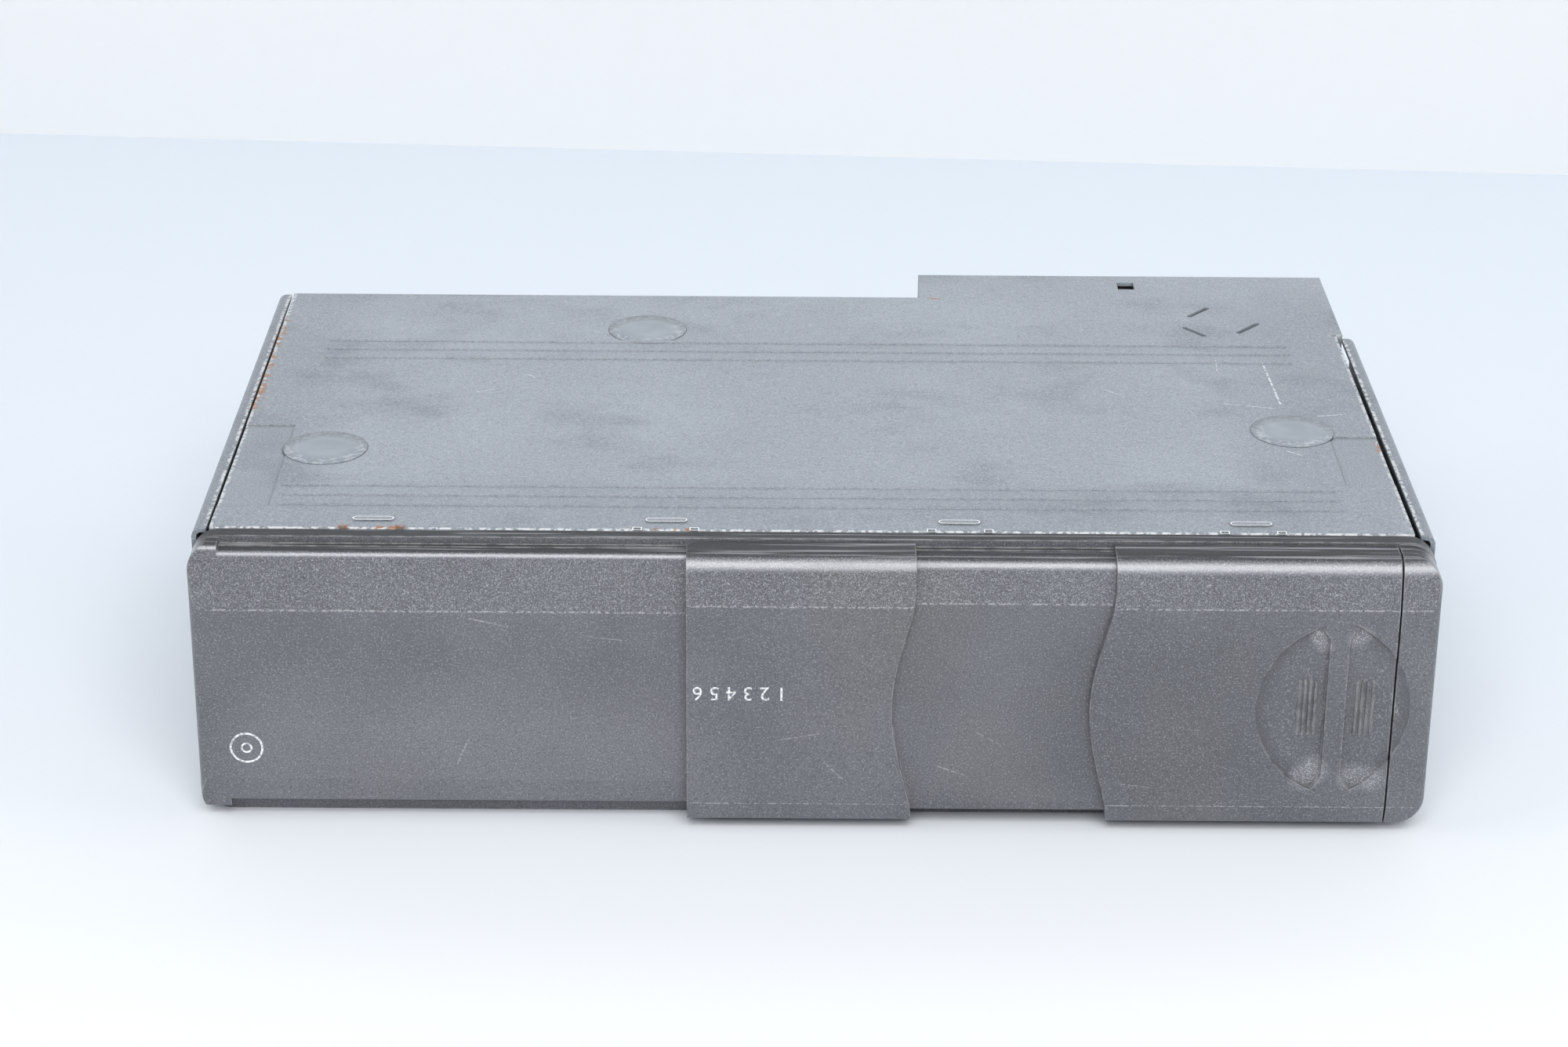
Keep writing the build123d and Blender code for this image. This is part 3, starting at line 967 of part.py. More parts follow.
def case_screws():
    """Pan head screws in the rear wall."""
    screws = []
    for x in SCREWS:
        head = rod_y(x, MAIN_BACK, MAIN_BACK + 1.8, PLATE_TOP / 2, 2.8)
        screws.append(chamfer(head.edges().sort_by(Axis.Y)[-1], 0.6))
    return screws


def case_dampers():
    """Rubber dampers between the suspended mechanism and the steel case."""
    inner = HALF - SHEET
    pads = []
    for y in DAMPER_ROWS:
        pads.append(rod_x(-inner, CHASSIS_LEFT, y, DAMPER_LEVEL, 6.0))
        pads.append(rod_x(CAGE_RIGHT + INNER_SHEET, inner, y, DAMPER_LEVEL, 6.5))
    return pads


def export(name, shapes):
    """Write one node, moved so that the whole box is centred on the origin."""
    if not isinstance(shapes, list):
        shapes = [shapes]
    moved = [Pos(0, -REAR_BACK / 2, 0) * shape for shape in shapes]
    node = moved[0] if len(moved) == 1 else Compound(children=moved)
    node.label = name
    export_step(node, os.path.join("parts", name + ".step"))


os.makedirs("parts", exist_ok=True)

# front and doors
export("front_bezel", front_bezel())
export("door_inner", door_inner())
export("door_outer", door_outer())

# steel case
export("case_cover", case_cover())
export("base_plate", base_plate())
export("hole_stickers", stickers())
export("side_nuts", side_nuts())
export("case_screws", case_screws())
export("rear_housing", rear_housing())
export("rear_socket", rear_socket())
export("socket_pins", socket_pins())

# magazine
export("magazine_shell", magazine_shell())
for number, level in enumerate(TRAY_LEVELS, start=1):
    export("disc_tray_" + str(number), tray(level))

# inner chassis
export("chassis", chassis())
export("magazine_cage", magazine_cage())
export("case_dampers", case_dampers())

# lifting gear
lift_x, lift_y = lift_motor_place()
export("cam_slide", cam_slide())
export("lift_gear", lift_gear())
export("lift_motor", motor(lift_x, lift_y, CHASSIS_FLOOR + INNER_SHEET, LIFT_MOTOR_TOP, LIFT_MOTOR_RADIUS))
export("lift_motor_pinion", motor_pinion(lift_x, lift_y, WHEEL_LOW, WHEEL_LOW + WHEEL_THICK,
                                         LIFT_MOTOR_TOP - 3, HALF_TOOTH - 90))

# playing unit
export("lift_frame", lift_frame())
export("unit_dampers", [disc(x, y, DECK_LOW + DECK_SHEET, UNIT_LOW, 3.0) for x, y in DAMPER_PLACES])
export("unit_base", unit_base())
export("guide_rods", guide_rods())
export("spindle_motor", spindle_motor())
export("turntable", turntable())
export("pickup_sled", pickup_sled())
export("pickup_lens", pickup_lens())
sled_x, sled_y = sled_motor_place()
export("sled_gear", sled_gear())
export("sled_motor", motor(sled_x, sled_y, UNIT_TOP, SLED_MOTOR_TOP, SLED_MOTOR_RADIUS))
export("sled_motor_pinion", motor_pinion(sled_x, sled_y, SLED_WHEEL_LOW, SLED_WHEEL_LOW + 1.2,
                                         SLED_MOTOR_TOP - 3, HALF_TOOTH + 90))
export("clamp_arm", clamp_arm())
export("clamper", clamper())

# ejector and electronics
export("eject_button", eject_button())
export("eject_spring", eject_spring())
export("eject_lever", eject_lever())
export("main_board", main_board())
export("board_posts", board_posts())
export("board_parts", board_parts())
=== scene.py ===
# %% [markdown]
# # A car CD changer, dressed for its portrait
# The changer is a flat steel box with a moulded front. It holds six discs in a magazine, and a
# sliding door of two halves covers the magazine. It lies upside down here, on its broad cover,
# so the ribbed base plate with its round film seals is on top.
# The solid model is already in place when this script starts. What is left to do is the finish of
# every surface, the thin things that a solid model skips, and the light. We load the model as a
# fixed frame and keep its box, because nothing that we add may reach outside it.

# %% Load the frame
import math

import bmesh
import bpy
from mathutils import Matrix, Vector


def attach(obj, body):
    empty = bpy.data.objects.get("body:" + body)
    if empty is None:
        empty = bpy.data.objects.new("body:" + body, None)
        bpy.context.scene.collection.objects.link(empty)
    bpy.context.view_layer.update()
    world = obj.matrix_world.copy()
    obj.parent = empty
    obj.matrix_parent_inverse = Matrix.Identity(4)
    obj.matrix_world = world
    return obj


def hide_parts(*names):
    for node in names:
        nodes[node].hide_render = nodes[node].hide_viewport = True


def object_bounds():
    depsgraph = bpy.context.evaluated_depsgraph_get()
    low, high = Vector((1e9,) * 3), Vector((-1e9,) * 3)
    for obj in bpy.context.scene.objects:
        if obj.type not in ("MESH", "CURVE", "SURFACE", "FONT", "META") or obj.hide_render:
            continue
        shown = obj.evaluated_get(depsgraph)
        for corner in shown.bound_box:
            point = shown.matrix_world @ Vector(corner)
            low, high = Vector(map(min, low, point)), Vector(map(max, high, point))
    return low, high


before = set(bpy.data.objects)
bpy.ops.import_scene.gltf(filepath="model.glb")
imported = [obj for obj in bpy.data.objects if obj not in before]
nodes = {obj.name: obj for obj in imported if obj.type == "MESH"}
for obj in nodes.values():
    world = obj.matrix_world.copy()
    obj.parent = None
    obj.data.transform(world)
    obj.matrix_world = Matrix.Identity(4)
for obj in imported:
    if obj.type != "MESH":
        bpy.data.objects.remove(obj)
cad_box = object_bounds()
MM = 0.001
print("nodes", len(nodes), "box", [[round(value, 4) for value in corner] for corner in cad_box])

# %% [markdown]
# Lengths on the object are easiest to think of in millimetres, counted from the outer face of the
# door. The frame is in metres with its origin in the middle of the bottom, so one small function
# turns the one into the other. The door's face comes from the frame itself; the plate's level is a
# given number.

# %% A ruler for the object
DOOR_FACE = cad_box[0][1]
PLATE_TOP = 63.2


def at(x, y, z):
    """A point given in millimetres, with y counted back from the door's outer face."""
    return Vector((x * MM, DOOR_FACE + y * MM, z * MM))


print("door face at", round(DOOR_FACE, 5), "plate top at", round(at(0, 0, PLATE_TOP).z, 5))

# %% [markdown]
# ## Helpers for finishes
# A finish is a small network of nodes. Painters mix colours that look right on screen, so colours
# are written as sRGB hex values and turned to the linear values that a shader computes with.
# One function adds a node, sets its values and plugs in its inputs. With it a network reads like
# a recipe, line by line.

# %% Colour and node helpers
def srgb(code):
    """The linear colour of an sRGB hex value."""
    channels = [int(code[place:place + 2], 16) / 255 for place in (1, 3, 5)]
    linear = [c / 12.92 if c <= 0.04045 else ((c + 0.055) / 1.055) ** 2.4 for c in channels]
    return (*linear, 1.0)


def add(tree, kind, values=None, links=None, **properties):
    """Add one node, set its properties and socket values, and link its inputs."""
    node = tree.nodes.new("ShaderNode" + kind)
    for name, value in properties.items():
        setattr(node, name, value)
    for socket, value in (values or {}).items():
        node.inputs[socket].default_value = value
    for socket, source in (links or {}).items():
        tree.links.new(source, node.inputs[socket])
    return node


def new_finish(name, **surface):
    """A material with its tree, its shader and the object's own coordinates."""
    material = bpy.data.materials.new(name)
    material.use_nodes = True
    tree = material.node_tree
    shader = tree.nodes["Principled BSDF"]
    for socket, value in surface.items():
        shader.inputs[socket.replace("_", " ")].default_value = value
    place = add(tree, "TexCoord").outputs["Object"]
    return material, tree, shader, place


def per_mm(size):
    """The texture scale at which one feature is about this many millimetres wide."""
    return 1 / (size * MM)


print("the front's charcoal in linear values", [round(c, 3) for c in srgb("#515358")])

# %% [markdown]
# Three patterns come back in nearly every finish. Patches are soft clouds: handling marks, dust
# and uneven gloss. Grain is the fine relief of a mould or a coating, made as a bump because it is
# far too fine for geometry. Worn edges are where hands and tools rub first. The Bevel node rounds
# the normal near an edge, and where it differs from the true normal there is an edge.

# %% Patterns that finishes share
def patches(tree, place, size, low, high, stretch=(1, 1, 1), detail=3.0):
    """Soft clouds, 0 below the value low and 1 above the value high."""
    spread = add(tree, "Mapping", {"Scale": stretch}, {"Vector": place}).outputs[0]
    clouds = add(tree, "TexNoise", {"Scale": per_mm(size), "Detail": detail}, {"Vector": spread})
    return add(tree, "MapRange", {1: low, 2: high}, {0: clouds.outputs[0]},
               interpolation_type="SMOOTHSTEP").outputs[0]


def grain(tree, place, size, depth, strength=1.0, normal=None):
    """A bumpy surface whose grains are size wide and depth deep, both in millimetres."""
    noise = add(tree, "TexNoise", {"Scale": per_mm(size), "Detail": 1.0}, {"Vector": place})
    bump = add(tree, "Bump", {"Strength": strength, "Distance": depth * MM},
               {"Height": noise.outputs[0]})
    if normal is not None:
        tree.links.new(normal, bump.inputs["Normal"])
    return bump.outputs[0]


def worn_edges(tree, radius, low, high):
    """1 on edges that turn away within the radius in millimetres, 0 on flat ground."""
    rounded = add(tree, "Bevel", {"Radius": radius * MM}, samples=4).outputs[0]
    true = add(tree, "NewGeometry").outputs["Normal"]
    match = add(tree, "VectorMath", None, {0: rounded, 1: true}, operation="DOT_PRODUCT")
    return add(tree, "MapRange", {1: high, 2: low}, {0: match.outputs["Value"]},
               interpolation_type="SMOOTHSTEP").outputs[0]


def near_line(tree, place, start, end, width):
    """1 within the width in millimetres of the line between two points, 0 further away."""
    first, last = at(*start), at(*end)
    along = last - first
    offset = add(tree, "VectorMath", {1: first}, {0: place}, operation="SUBTRACT").outputs[0]
    share = add(tree, "VectorMath", {1: along / along.length_squared}, {0: offset},
                operation="DOT_PRODUCT").outputs["Value"]
    held = add(tree, "Clamp", None, {"Value": share}).outputs[0]
    foot = add(tree, "VectorMath", {0: along}, {"Scale": held}, operation="SCALE").outputs[0]
    gap = add(tree, "VectorMath", None, {0: offset, 1: foot}, operation="DISTANCE")
    return add(tree, "MapRange", {1: width * MM, 2: width * MM * 0.4},
               {0: gap.outputs["Value"]}).outputs[0]


def strongest(tree, masks):
    """The greatest of several masks."""
    result = masks[0]
    for mask in masks[1:]:
        result = add(tree, "Math", None, {0: result, 1: mask}, operation="MAXIMUM").outputs[0]
    return result


def product(tree, first, second):
    """Two masks multiplied, so that both must hold."""
    return add(tree, "Math", None, {0: first, 1: second}, operation="MULTIPLY").outputs[0]


def tint(tree, colour, mask, code, amount=1.0):
    """Blend another colour over this one where the mask says so."""
    scaled = add(tree, "Math", {1: amount}, {0: mask}, operation="MULTIPLY").outputs[0]
    return add(tree, "Mix", {7: srgb(code)}, {0: scaled, 6: colour}, data_type="RGBA").outputs[2]


print("patterns ready")

# %% [markdown]
# ## The moulded front
# The bezel and both door halves are injection-moulded ABS, charcoal grey, from a spark-eroded
# mould. Years in a boot leave brownish dust in corners, pale rubbed edges and stray scratches.
# A scratch or a crease is a line in the material, not geometry, because it is far thinner than
# the wall. Each entry is a start, an end and a width. The creases mark where the face bends into
# its leaning facets, and each is painted as a pale highlight along its whole length.

# %% Marks on the front
FRONT_SCRATCHES = (
    ((-70.5, 3.4, 47.4), (-62.5, 3.4, 45.6), 0.22), ((-46.0, 3.4, 43.4), (-38.5, 3.4, 42.6), 0.12),
    ((-71.2, 3.4, 19.5), (-73.6, 3.4, 14.0), 0.20), ((-98.0, 3.4, 49.1), (-93.0, 3.4, 49.0), 0.16),
    ((-6.5, 0.0, 21.8), (2.2, 0.0, 23.4), 0.14), ((2.5, 0.0, 16.6), (6.5, 0.0, 12.6), 0.20),
    ((26.0, 2.1, 14.8), (31.5, 2.1, 12.8), 0.20), ((118.6, 0.0, 33.0), (120.2, 0.0, 28.5), 0.5),
    ((34.0, 2.1, 22.6), (38.8, 2.1, 20.0), 0.10), ((64.0, 0.0, 12.0), (70.0, 0.0, 11.2), 0.12),
)
CREASE_HIGHLIGHTS = (
    ((-123.0, 3.4, 48.9), (-26.5, 3.4, 48.9), 0.30), ((-25.5, 0.0, 52.0), (20.4, 0.0, 52.0), 0.26),
    ((21.0, 2.1, 52.0), (60.6, 2.1, 52.0), 0.24), ((61.2, 0.0, 52.0), (125.6, 0.0, 52.0), 0.26),
    ((-25.5, 0.0, 6.9), (20.4, 0.0, 6.9), 0.16), ((61.2, 0.0, 6.9), (125.0, 0.0, 6.9), 0.16),
)
LOWER_LEFT_PALE_BAND = ((-105.0, 3.4, 13.0), (-36.0, 3.4, 13.0), 24)
RIGHT_DOOR_DARK_PATCH = ((72.0, 0.0, 28.0), (92.0, 0.0, 28.0), 34)
print("marks on the front:", len(FRONT_SCRATCHES), "scratches,", len(CREASE_HIGHLIGHTS), "creases")

# %% [markdown]
# The two finger recesses stand each side of a grip bar. The solid's recesses have flat floors, so
# the shade that a scooped floor would have is tinted in: dark just inside each curved edge, which
# is an arc about a known centre, and pale at the ends, where the scoop turns up to the light.

# %% Shade in the finger recesses
GRIP_GLINTS = (
    ((101.6, 1.0, 13.6), (104.2, 1.1, 15.4), 3.6), ((111.2, 1.0, 13.6), (116.0, 0.6, 13.6), 3.4),
    ((103.2, 1.0, 46.0), (104.4, 1.1, 44.0), 2.4), ((110.6, 1.0, 45.4), (112.0, 0.9, 46.4), 2.6),
)
GRIP_ARCS = ((111.2, 20.2, -1), (101.5, 21.0, 1))
GRIP_MIDDLE = 29.6
GRIP_BAR = 107.3
GRIP_BAR_HALF = 3.0
SHADE_WIDTH = 3.2


def grip_shade(tree, place, centre, radius, side):
    """1 just inside the curved edge of a finger recess, fading over the shade's width."""
    flat = add(tree, "VectorMath", {1: (1, 0, 1)}, {0: place}, operation="MULTIPLY").outputs[0]
    middle = at(centre, 0, GRIP_MIDDLE)
    middle.y = 0
    reach = add(tree, "VectorMath", {1: middle}, {0: flat}, operation="DISTANCE").outputs["Value"]
    inside = add(tree, "MapRange", {1: (radius - SHADE_WIDTH) * MM, 2: radius * MM},
                 {0: reach}).outputs[0]
    within = add(tree, "Math", {1: (radius + 0.1) * MM}, {0: reach},
                 operation="LESS_THAN").outputs[0]
    across = add(tree, "SeparateXYZ", None, {0: place}).outputs[0]
    edge = GRIP_BAR + side * GRIP_BAR_HALF
    beyond = add(tree, "Math", {1: edge * MM}, {0: across},
                 operation="LESS_THAN" if side < 0 else "GREATER_THAN").outputs[0]
    return product(tree, product(tree, inside, within), beyond)


print("recess arcs:", len(GRIP_ARCS), "glints:", len(GRIP_GLINTS))

# %% [markdown]
# The finish is built in layers, each a function that takes the colour so far and gives it back.
# First comes the plastic itself with its dust. Then comes the grain. A spark-eroded mould leaves
# grains about a quarter of a millimetre wide, whose tips glint. The glints are smaller than a
# pixel of the render, so they are drawn a little coarser, as pale flecks and dark pits in the
# colour. They are strongest on the facets that lean up towards the light.

# %% Base and grain of the front
def front_base(tree, place):
    """The charcoal colour, and the mask of its dust."""
    cloud = patches(tree, place, 22, 0.35, 0.68)
    colour = add(tree, "Mix", {6: srgb("#515358"), 7: srgb("#5a5c62")}, {0: cloud},
                 data_type="RGBA").outputs[2]
    dust = patches(tree, place, 34, 0.52, 0.72, (1, 1, 0.6))
    colour = tint(tree, colour, dust, "#66635d", 0.3)
    # A paler band across the lower part of the left panel.
    colour = tint(tree, colour, near_line(tree, place, *LOWER_LEFT_PALE_BAND), "#74757a", 0.4)
    # A darker patch on the right half of the door.
    return tint(tree, colour, near_line(tree, place, *RIGHT_DOOR_DARK_PATCH), "#3a3c40", 0.35), dust


def front_grain(tree, place, colour, upward):
    flecks = patches(tree, place, 0.34, 0.5, 0.74, detail=1.0)
    colour = tint(tree, colour, flecks, "#a0a2a9", 0.45)
    leaning = add(tree, "MapRange", {1: 0.06, 2: 0.15}, {0: upward}).outputs[0]
    # Painted highlight and painted shade: on faces that lean up, pale glints and dark specks stand in for
    # light caught by the grain.
    glints = patches(tree, place, 0.27, 0.52, 0.68, detail=1.0)
    colour = tint(tree, colour, product(tree, glints, leaning), "#c9cbd0", 0.32)
    leaning_grain_shade = patches(tree, place, 0.29, 0.5, 0.34, detail=1.0)
    colour = tint(tree, colour, product(tree, leaning_grain_shade, leaning), "#26282b", 0.55)
    pits = patches(tree, place, 0.4, 0.48, 0.3, detail=1.0)
    return tint(tree, colour, pits, "#34363a", 0.5)


print("base and grain ready")

# %% [markdown]
# The door runs in a track on the upward face. Faces that look up, the track among them, are
# painted darker as painted shade, with fine pale streaks along X; the streaks are clouds stretched
# fifty times along X. The rounded tops of the door get a painted highlight, and the masks come
# from how far a face looks up.

# %% Track shade and top highlight of the front
def track_and_polish(tree, place, colour, upward, flat):
    # Painted shade: faces that look up are tinted dark.
    colour = tint(tree, colour, flat, "#242629", 0.85)
    streaks = patches(tree, place, 0.9, 0.54, 0.66, (0.02, 1, 1), 5.0)
    colour = tint(tree, colour, product(tree, streaks, flat), "#a9abb0", 0.6)
    # Painted highlight: faces between looking up and looking forward, the rounded door tops, are tinted
    # pale.
    rising = add(tree, "MapRange", {1: 0.22, 2: 0.4}, {0: upward}).outputs[0]
    topping = add(tree, "MapRange", {1: 0.85, 2: 0.62}, {0: upward}).outputs[0]
    return tint(tree, colour, product(tree, rising, topping), "#b3b5ba", 0.45)


def recess_and_creases(tree, place, colour):
    shades = [grip_shade(tree, place, *arc) for arc in GRIP_ARCS]
    colour = tint(tree, colour, strongest(tree, shades), "#36383c", 0.6)
    glow = strongest(tree, [near_line(tree, place, *line) for line in GRIP_GLINTS])
    colour = tint(tree, colour, glow, "#85878c", 0.3)
    sparks = product(tree, glow, patches(tree, place, 0.3, 0.5, 0.68, detail=1.0))
    colour = tint(tree, colour, sparks, "#c9cacc", 0.5)
    # Painted highlight: a pale line along each crease, broken up by clouds.
    crease_highlight = strongest(tree, [near_line(tree, place, *line) for line in CREASE_HIGHLIGHTS])
    crease_highlight = product(tree, crease_highlight, patches(tree, place, 0.8, 0.4, 0.62))
    return tint(tree, colour, crease_highlight, "#b4b5b8", 0.55)


def front_wear(tree, place, colour):
    """Crumbs in corners, rubbed edges and scratches."""
    hollow = add(tree, "AmbientOcclusion", {"Distance": 1.6 * MM}, samples=4).outputs["AO"]
    corner = add(tree, "MapRange", {1: 0.75, 2: 0.35}, {0: hollow}).outputs[0]
    crumbs = patches(tree, place, 1.4, 0.42, 0.62)
    colour = tint(tree, colour, product(tree, corner, crumbs), "#7e7a72", 0.5)
    # Pale edges: rubbed wear, and along small roundings such as the left panel's top edge also a painted
    # highlight.
    edges = worn_edges(tree, 0.45, 0.93, 0.995)
    rubbed = product(tree, edges, patches(tree, place, 3.2, 0.36, 0.6))
    colour = tint(tree, colour, rubbed, "#9fa0a2", 0.7)
    lines = [near_line(tree, place, *scratch) for scratch in FRONT_SCRATCHES]
    broken = product(tree, strongest(tree, lines), patches(tree, place, 0.8, 0.38, 0.55))
    return tint(tree, colour, broken, "#a9a9a8", 0.5)


print("track, recesses and wear ready")

# %% [markdown]
# Last, the layers go into one material. Dust and the worn track are duller than the rest, so
# they raise the roughness. The relief of the grain is a bump over softly rounded edges.

# %% Charcoal ABS
def charcoal_abs():
    material, tree, shader, place = new_finish("charcoal_abs_spark_eroded")
    facing = add(tree, "NewGeometry").outputs["Normal"]
    upward = add(tree, "SeparateXYZ", None, {0: facing}).outputs[2]
    flat = add(tree, "MapRange", {1: 0.75, 2: 0.95}, {0: upward}).outputs[0]
    colour, dust = front_base(tree, place)
    colour = front_grain(tree, place, colour, upward)
    colour = track_and_polish(tree, place, colour, upward, flat)
    colour = recess_and_creases(tree, place, colour)
    tree.links.new(front_wear(tree, place, colour), shader.inputs["Base Color"])
    gloss = add(tree, "MapRange", {3: 0.32, 4: 0.46}, {0: dust}).outputs[0]
    dull = add(tree, "MapRange", {4: 0.7}, {0: flat}).outputs[0]
    gloss = add(tree, "Math", None, {0: gloss, 1: dull}, operation="MAXIMUM").outputs[0]
    tree.links.new(gloss, shader.inputs["Roughness"])
    shader.inputs["Specular IOR Level"].default_value = 0.8
    soft = add(tree, "Bevel", {"Radius": 0.3 * MM}, samples=4).outputs[0]
    tree.links.new(grain(tree, place, 0.4, 0.09, 0.7, soft), shader.inputs["Normal"])
    return material


front_finish = charcoal_abs()
print("front finish:", len(front_finish.node_tree.nodes), "nodes")

# %% [markdown]
# ## The coated steel case
# Base plate and cover are thin steel sheet with a thin blue-grey coating, semi-gloss, with the
# slight orange peel of a sprayed film. Hands leave dull brownish smudges. Where the film is
# chipped, along the sheared edges, bright steel shows first and then rust, which is orange and
# dull and sits in spots. Rust is kept to where the real case has it, by masks that are lines
# along those edges, broken up by clouds. Fine light and dark specks give the film its mottling,
# and its borders are tinted a little darker. Crevices beside the pressed beads get painted
# shade, and the edges of the beads and sheet a pale painted highlight mixed with rubbed wear.

# %% Coated sheet
RUST_LINES = (
    ((-123.4, 76.0, 63.0), (-123.4, 136.0, 63.0), 1.5), ((-95.8, 13.6, 63.0), (-84.9, 13.6, 63.0), 0.9),
    ((-36.4, 13.4, 63.0), (-24.6, 13.4, 63.0), 0.7), ((122.6, 58.0, 63.0), (122.6, 63.0, 63.0), 0.9),
    ((26.4, 151.0, 63.0), (31.0, 150.0, 63.0), 0.8),
)
SHEARED_EDGES = (
    ((-123.0, 13.2, 63.1), (123.0, 13.2, 63.1), 0.5), ((123.1, 14.0, 63.1), (123.1, 126.0, 63.1), 0.8),
    ((-123.7, 14.0, 63.1), (-123.7, 150.0, 63.1), 0.9), ((-124.6, 14.0, 62.9), (-124.6, 150.0, 62.9), 0.7),
    ((124.6, 14.0, 62.9), (124.6, 125.0, 62.9), 0.7), ((122.0, 126.9, 63.1), (124.6, 126.9, 63.1), 1.2),
)
DARKER_BORDERS = (
    ((-123.0, 13.0, 63.2), (123.0, 13.0, 63.2), 30), ((122.0, 13.0, 63.2), (122.0, 126.0, 63.2), 34),
    ((-123.0, 13.0, 63.2), (-123.0, 150.0, 63.2), 24),
)
PLATE_SCRATCHES = (
    ((103.7, 108.5, 63.2), (104.6, 84.0, 63.2), 0.30), ((93.2, 112.0, 63.2), (92.7, 104.0, 63.2), 0.14),
    ((92.0, 84.0, 63.2), (102.5, 81.5, 63.2), 0.16), ((112.0, 77.0, 63.2), (117.5, 78.0, 63.2), 0.18),
    ((102.5, 57.0, 63.2), (105.5, 54.5, 63.2), 0.18), ((66.0, 92.0, 63.2), (70.0, 88.0, 63.2), 0.12),
    ((-64.0, 99.0, 63.2), (-62.5, 97.0, 63.2), 0.16), ((-75.0, 88.0, 63.2), (-71.0, 90.0, 63.2), 0.12),
)


def coated_sheet(name, base, smudge, rust_amount):
    material, tree, shader, place = new_finish(name)
    cloud = patches(tree, place, 45, 0.35, 0.65)
    colour = add(tree, "Mix", {6: srgb(base)}, {0: cloud}, data_type="RGBA")
    colour.inputs[7].default_value = [channel * 1.12 for channel in srgb(base)[:3]] + [1.0]
    colour = colour.outputs[2]
    smudges = patches(tree, place, 26, 0.5, 0.75, (1, 1.3, 1), 4.0)
    colour = tint(tree, colour, smudges, smudge, 0.35)
    # The sheet is tinted a little darker along its front and side borders.
    borders = strongest(tree, [near_line(tree, place, *line) for line in DARKER_BORDERS])
    colour = tint(tree, colour, borders, "#6f757d", 0.36)
    light_specks = patches(tree, place, 0.36, 0.5, 0.7, detail=1.0)
    colour = tint(tree, colour, light_specks, "#c0c6ce", 0.4)
    dark_specks = patches(tree, place, 0.42, 0.5, 0.32, detail=1.0)
    colour = tint(tree, colour, dark_specks, "#5f656d", 0.4)
    # Painted shade: crevices beside the pressed beads are tinted darker.
    hollow = add(tree, "AmbientOcclusion", {"Distance": 0.9 * MM}, samples=4).outputs["AO"]
    corner = add(tree, "MapRange", {1: 0.95, 2: 0.6}, {0: hollow}).outputs[0]
    colour = tint(tree, colour, corner, "#4c5056", 0.7)
    # Pale edges: a painted highlight along bead and sheet edges, together with rubbed wear.
    edges = worn_edges(tree, 0.3, 0.93, 0.995)
    rubbed = product(tree, edges, patches(tree, place, 0.9, 0.35, 0.6))
    colour = tint(tree, colour, rubbed, "#c3c6c9", 0.45)
    rims = strongest(tree, [near_line(tree, place, *line) for line in SHEARED_EDGES])
    chipped = product(tree, rims, patches(tree, place, 1.1, 0.42, 0.56))
    colour = tint(tree, colour, chipped, "#d3d5d7", 0.85)
    lines = [near_line(tree, place, *scratch) for scratch in PLATE_SCRATCHES]
    broken = product(tree, strongest(tree, lines), patches(tree, place, 0.9, 0.4, 0.52))
    colour = tint(tree, colour, broken, "#e4e6e8", 0.85)
    lines = [near_line(tree, place, *line) for line in RUST_LINES]
    rusty = product(tree, strongest(tree, lines), patches(tree, place, 1.6, 0.5, 0.6))
    colour = tint(tree, colour, rusty, "#9a6a45", rust_amount)
    tree.links.new(colour, shader.inputs["Base Color"])
    gloss = add(tree, "MapRange", {3: 0.33, 4: 0.5}, {0: smudges}).outputs[0]
    tree.links.new(gloss, shader.inputs["Roughness"])
    soft = add(tree, "Bevel", {"Radius": 0.35 * MM}, samples=4).outputs[0]
    peel = grain(tree, place, 1.6, 0.012, 0.6, soft)
    tree.links.new(grain(tree, place, 0.35, 0.01, 0.5, peel), shader.inputs["Normal"])
    return material


plate_finish = coated_sheet("coated_steel_base_plate", "#8f969e", "#70747a", 0.9)
cover_finish = coated_sheet("coated_steel_cover", "#777e87", "#66696d", 0.9)
print("sheet finishes:", plate_finish.name, cover_finish.name)

# %% [markdown]
# ## Plated steel, plastics and small materials inside
# Behind the door and in the case there are the materials of any mechanism: zinc-plated sheet with
# its faint bloom, black and grey ABS, white acetal gears, brass pinions, nickel-plated motor cans,
# rubber, a green circuit board. Each gets its own base values and one or two patterns. A table of
# the plain plastics keeps them together, because they differ only in colour, grain and gloss.

# %% Plastics and rubber
PLASTICS = {
    "black_abs_magazine": ("#26272a", 0.45, 0.35, 0.03),
    "grey_abs_tray": ("#5b5c60", 0.42, 0.5, 0.02),
    "black_acetal_parts": ("#1f2022", 0.38, 0.8, 0.01),
    "white_acetal_gears": ("#dedbd0", 0.34, 1.2, 0.006),
    "black_connector_nylon": ("#1b1b1d", 0.5, 0.5, 0.02),
    "moulded_chip_resin": ("#232427", 0.55, 0.25, 0.02),
    "natural_rubber_damper": ("#1a1a1a", 0.75, 0.6, 0.05),
}


def plain_plastic(name, code, roughness, grain_size, grain_depth):
    material, tree, shader, place = new_finish(name, Roughness=roughness)
    dust = patches(tree, place, 16, 0.45, 0.75)
    base = add(tree, "RGB").outputs[0]
    base.default_value = srgb(code)
    colour = tint(tree, base, dust, "#8a8680", 0.12)
    edges = worn_edges(tree, 0.3, 0.92, 0.995)
    rubbed = product(tree, edges, patches(tree, place, 4, 0.4, 0.6))
    tree.links.new(tint(tree, colour, rubbed, "#b0b0ae", 0.3), shader.inputs["Base Color"])
    tree.links.new(grain(tree, place, grain_size, grain_depth, 0.7), shader.inputs["Normal"])
    return material


plastics = {name: plain_plastic(name, *values) for name, values in PLASTICS.items()}
print("plastics:", ", ".join(plastics))

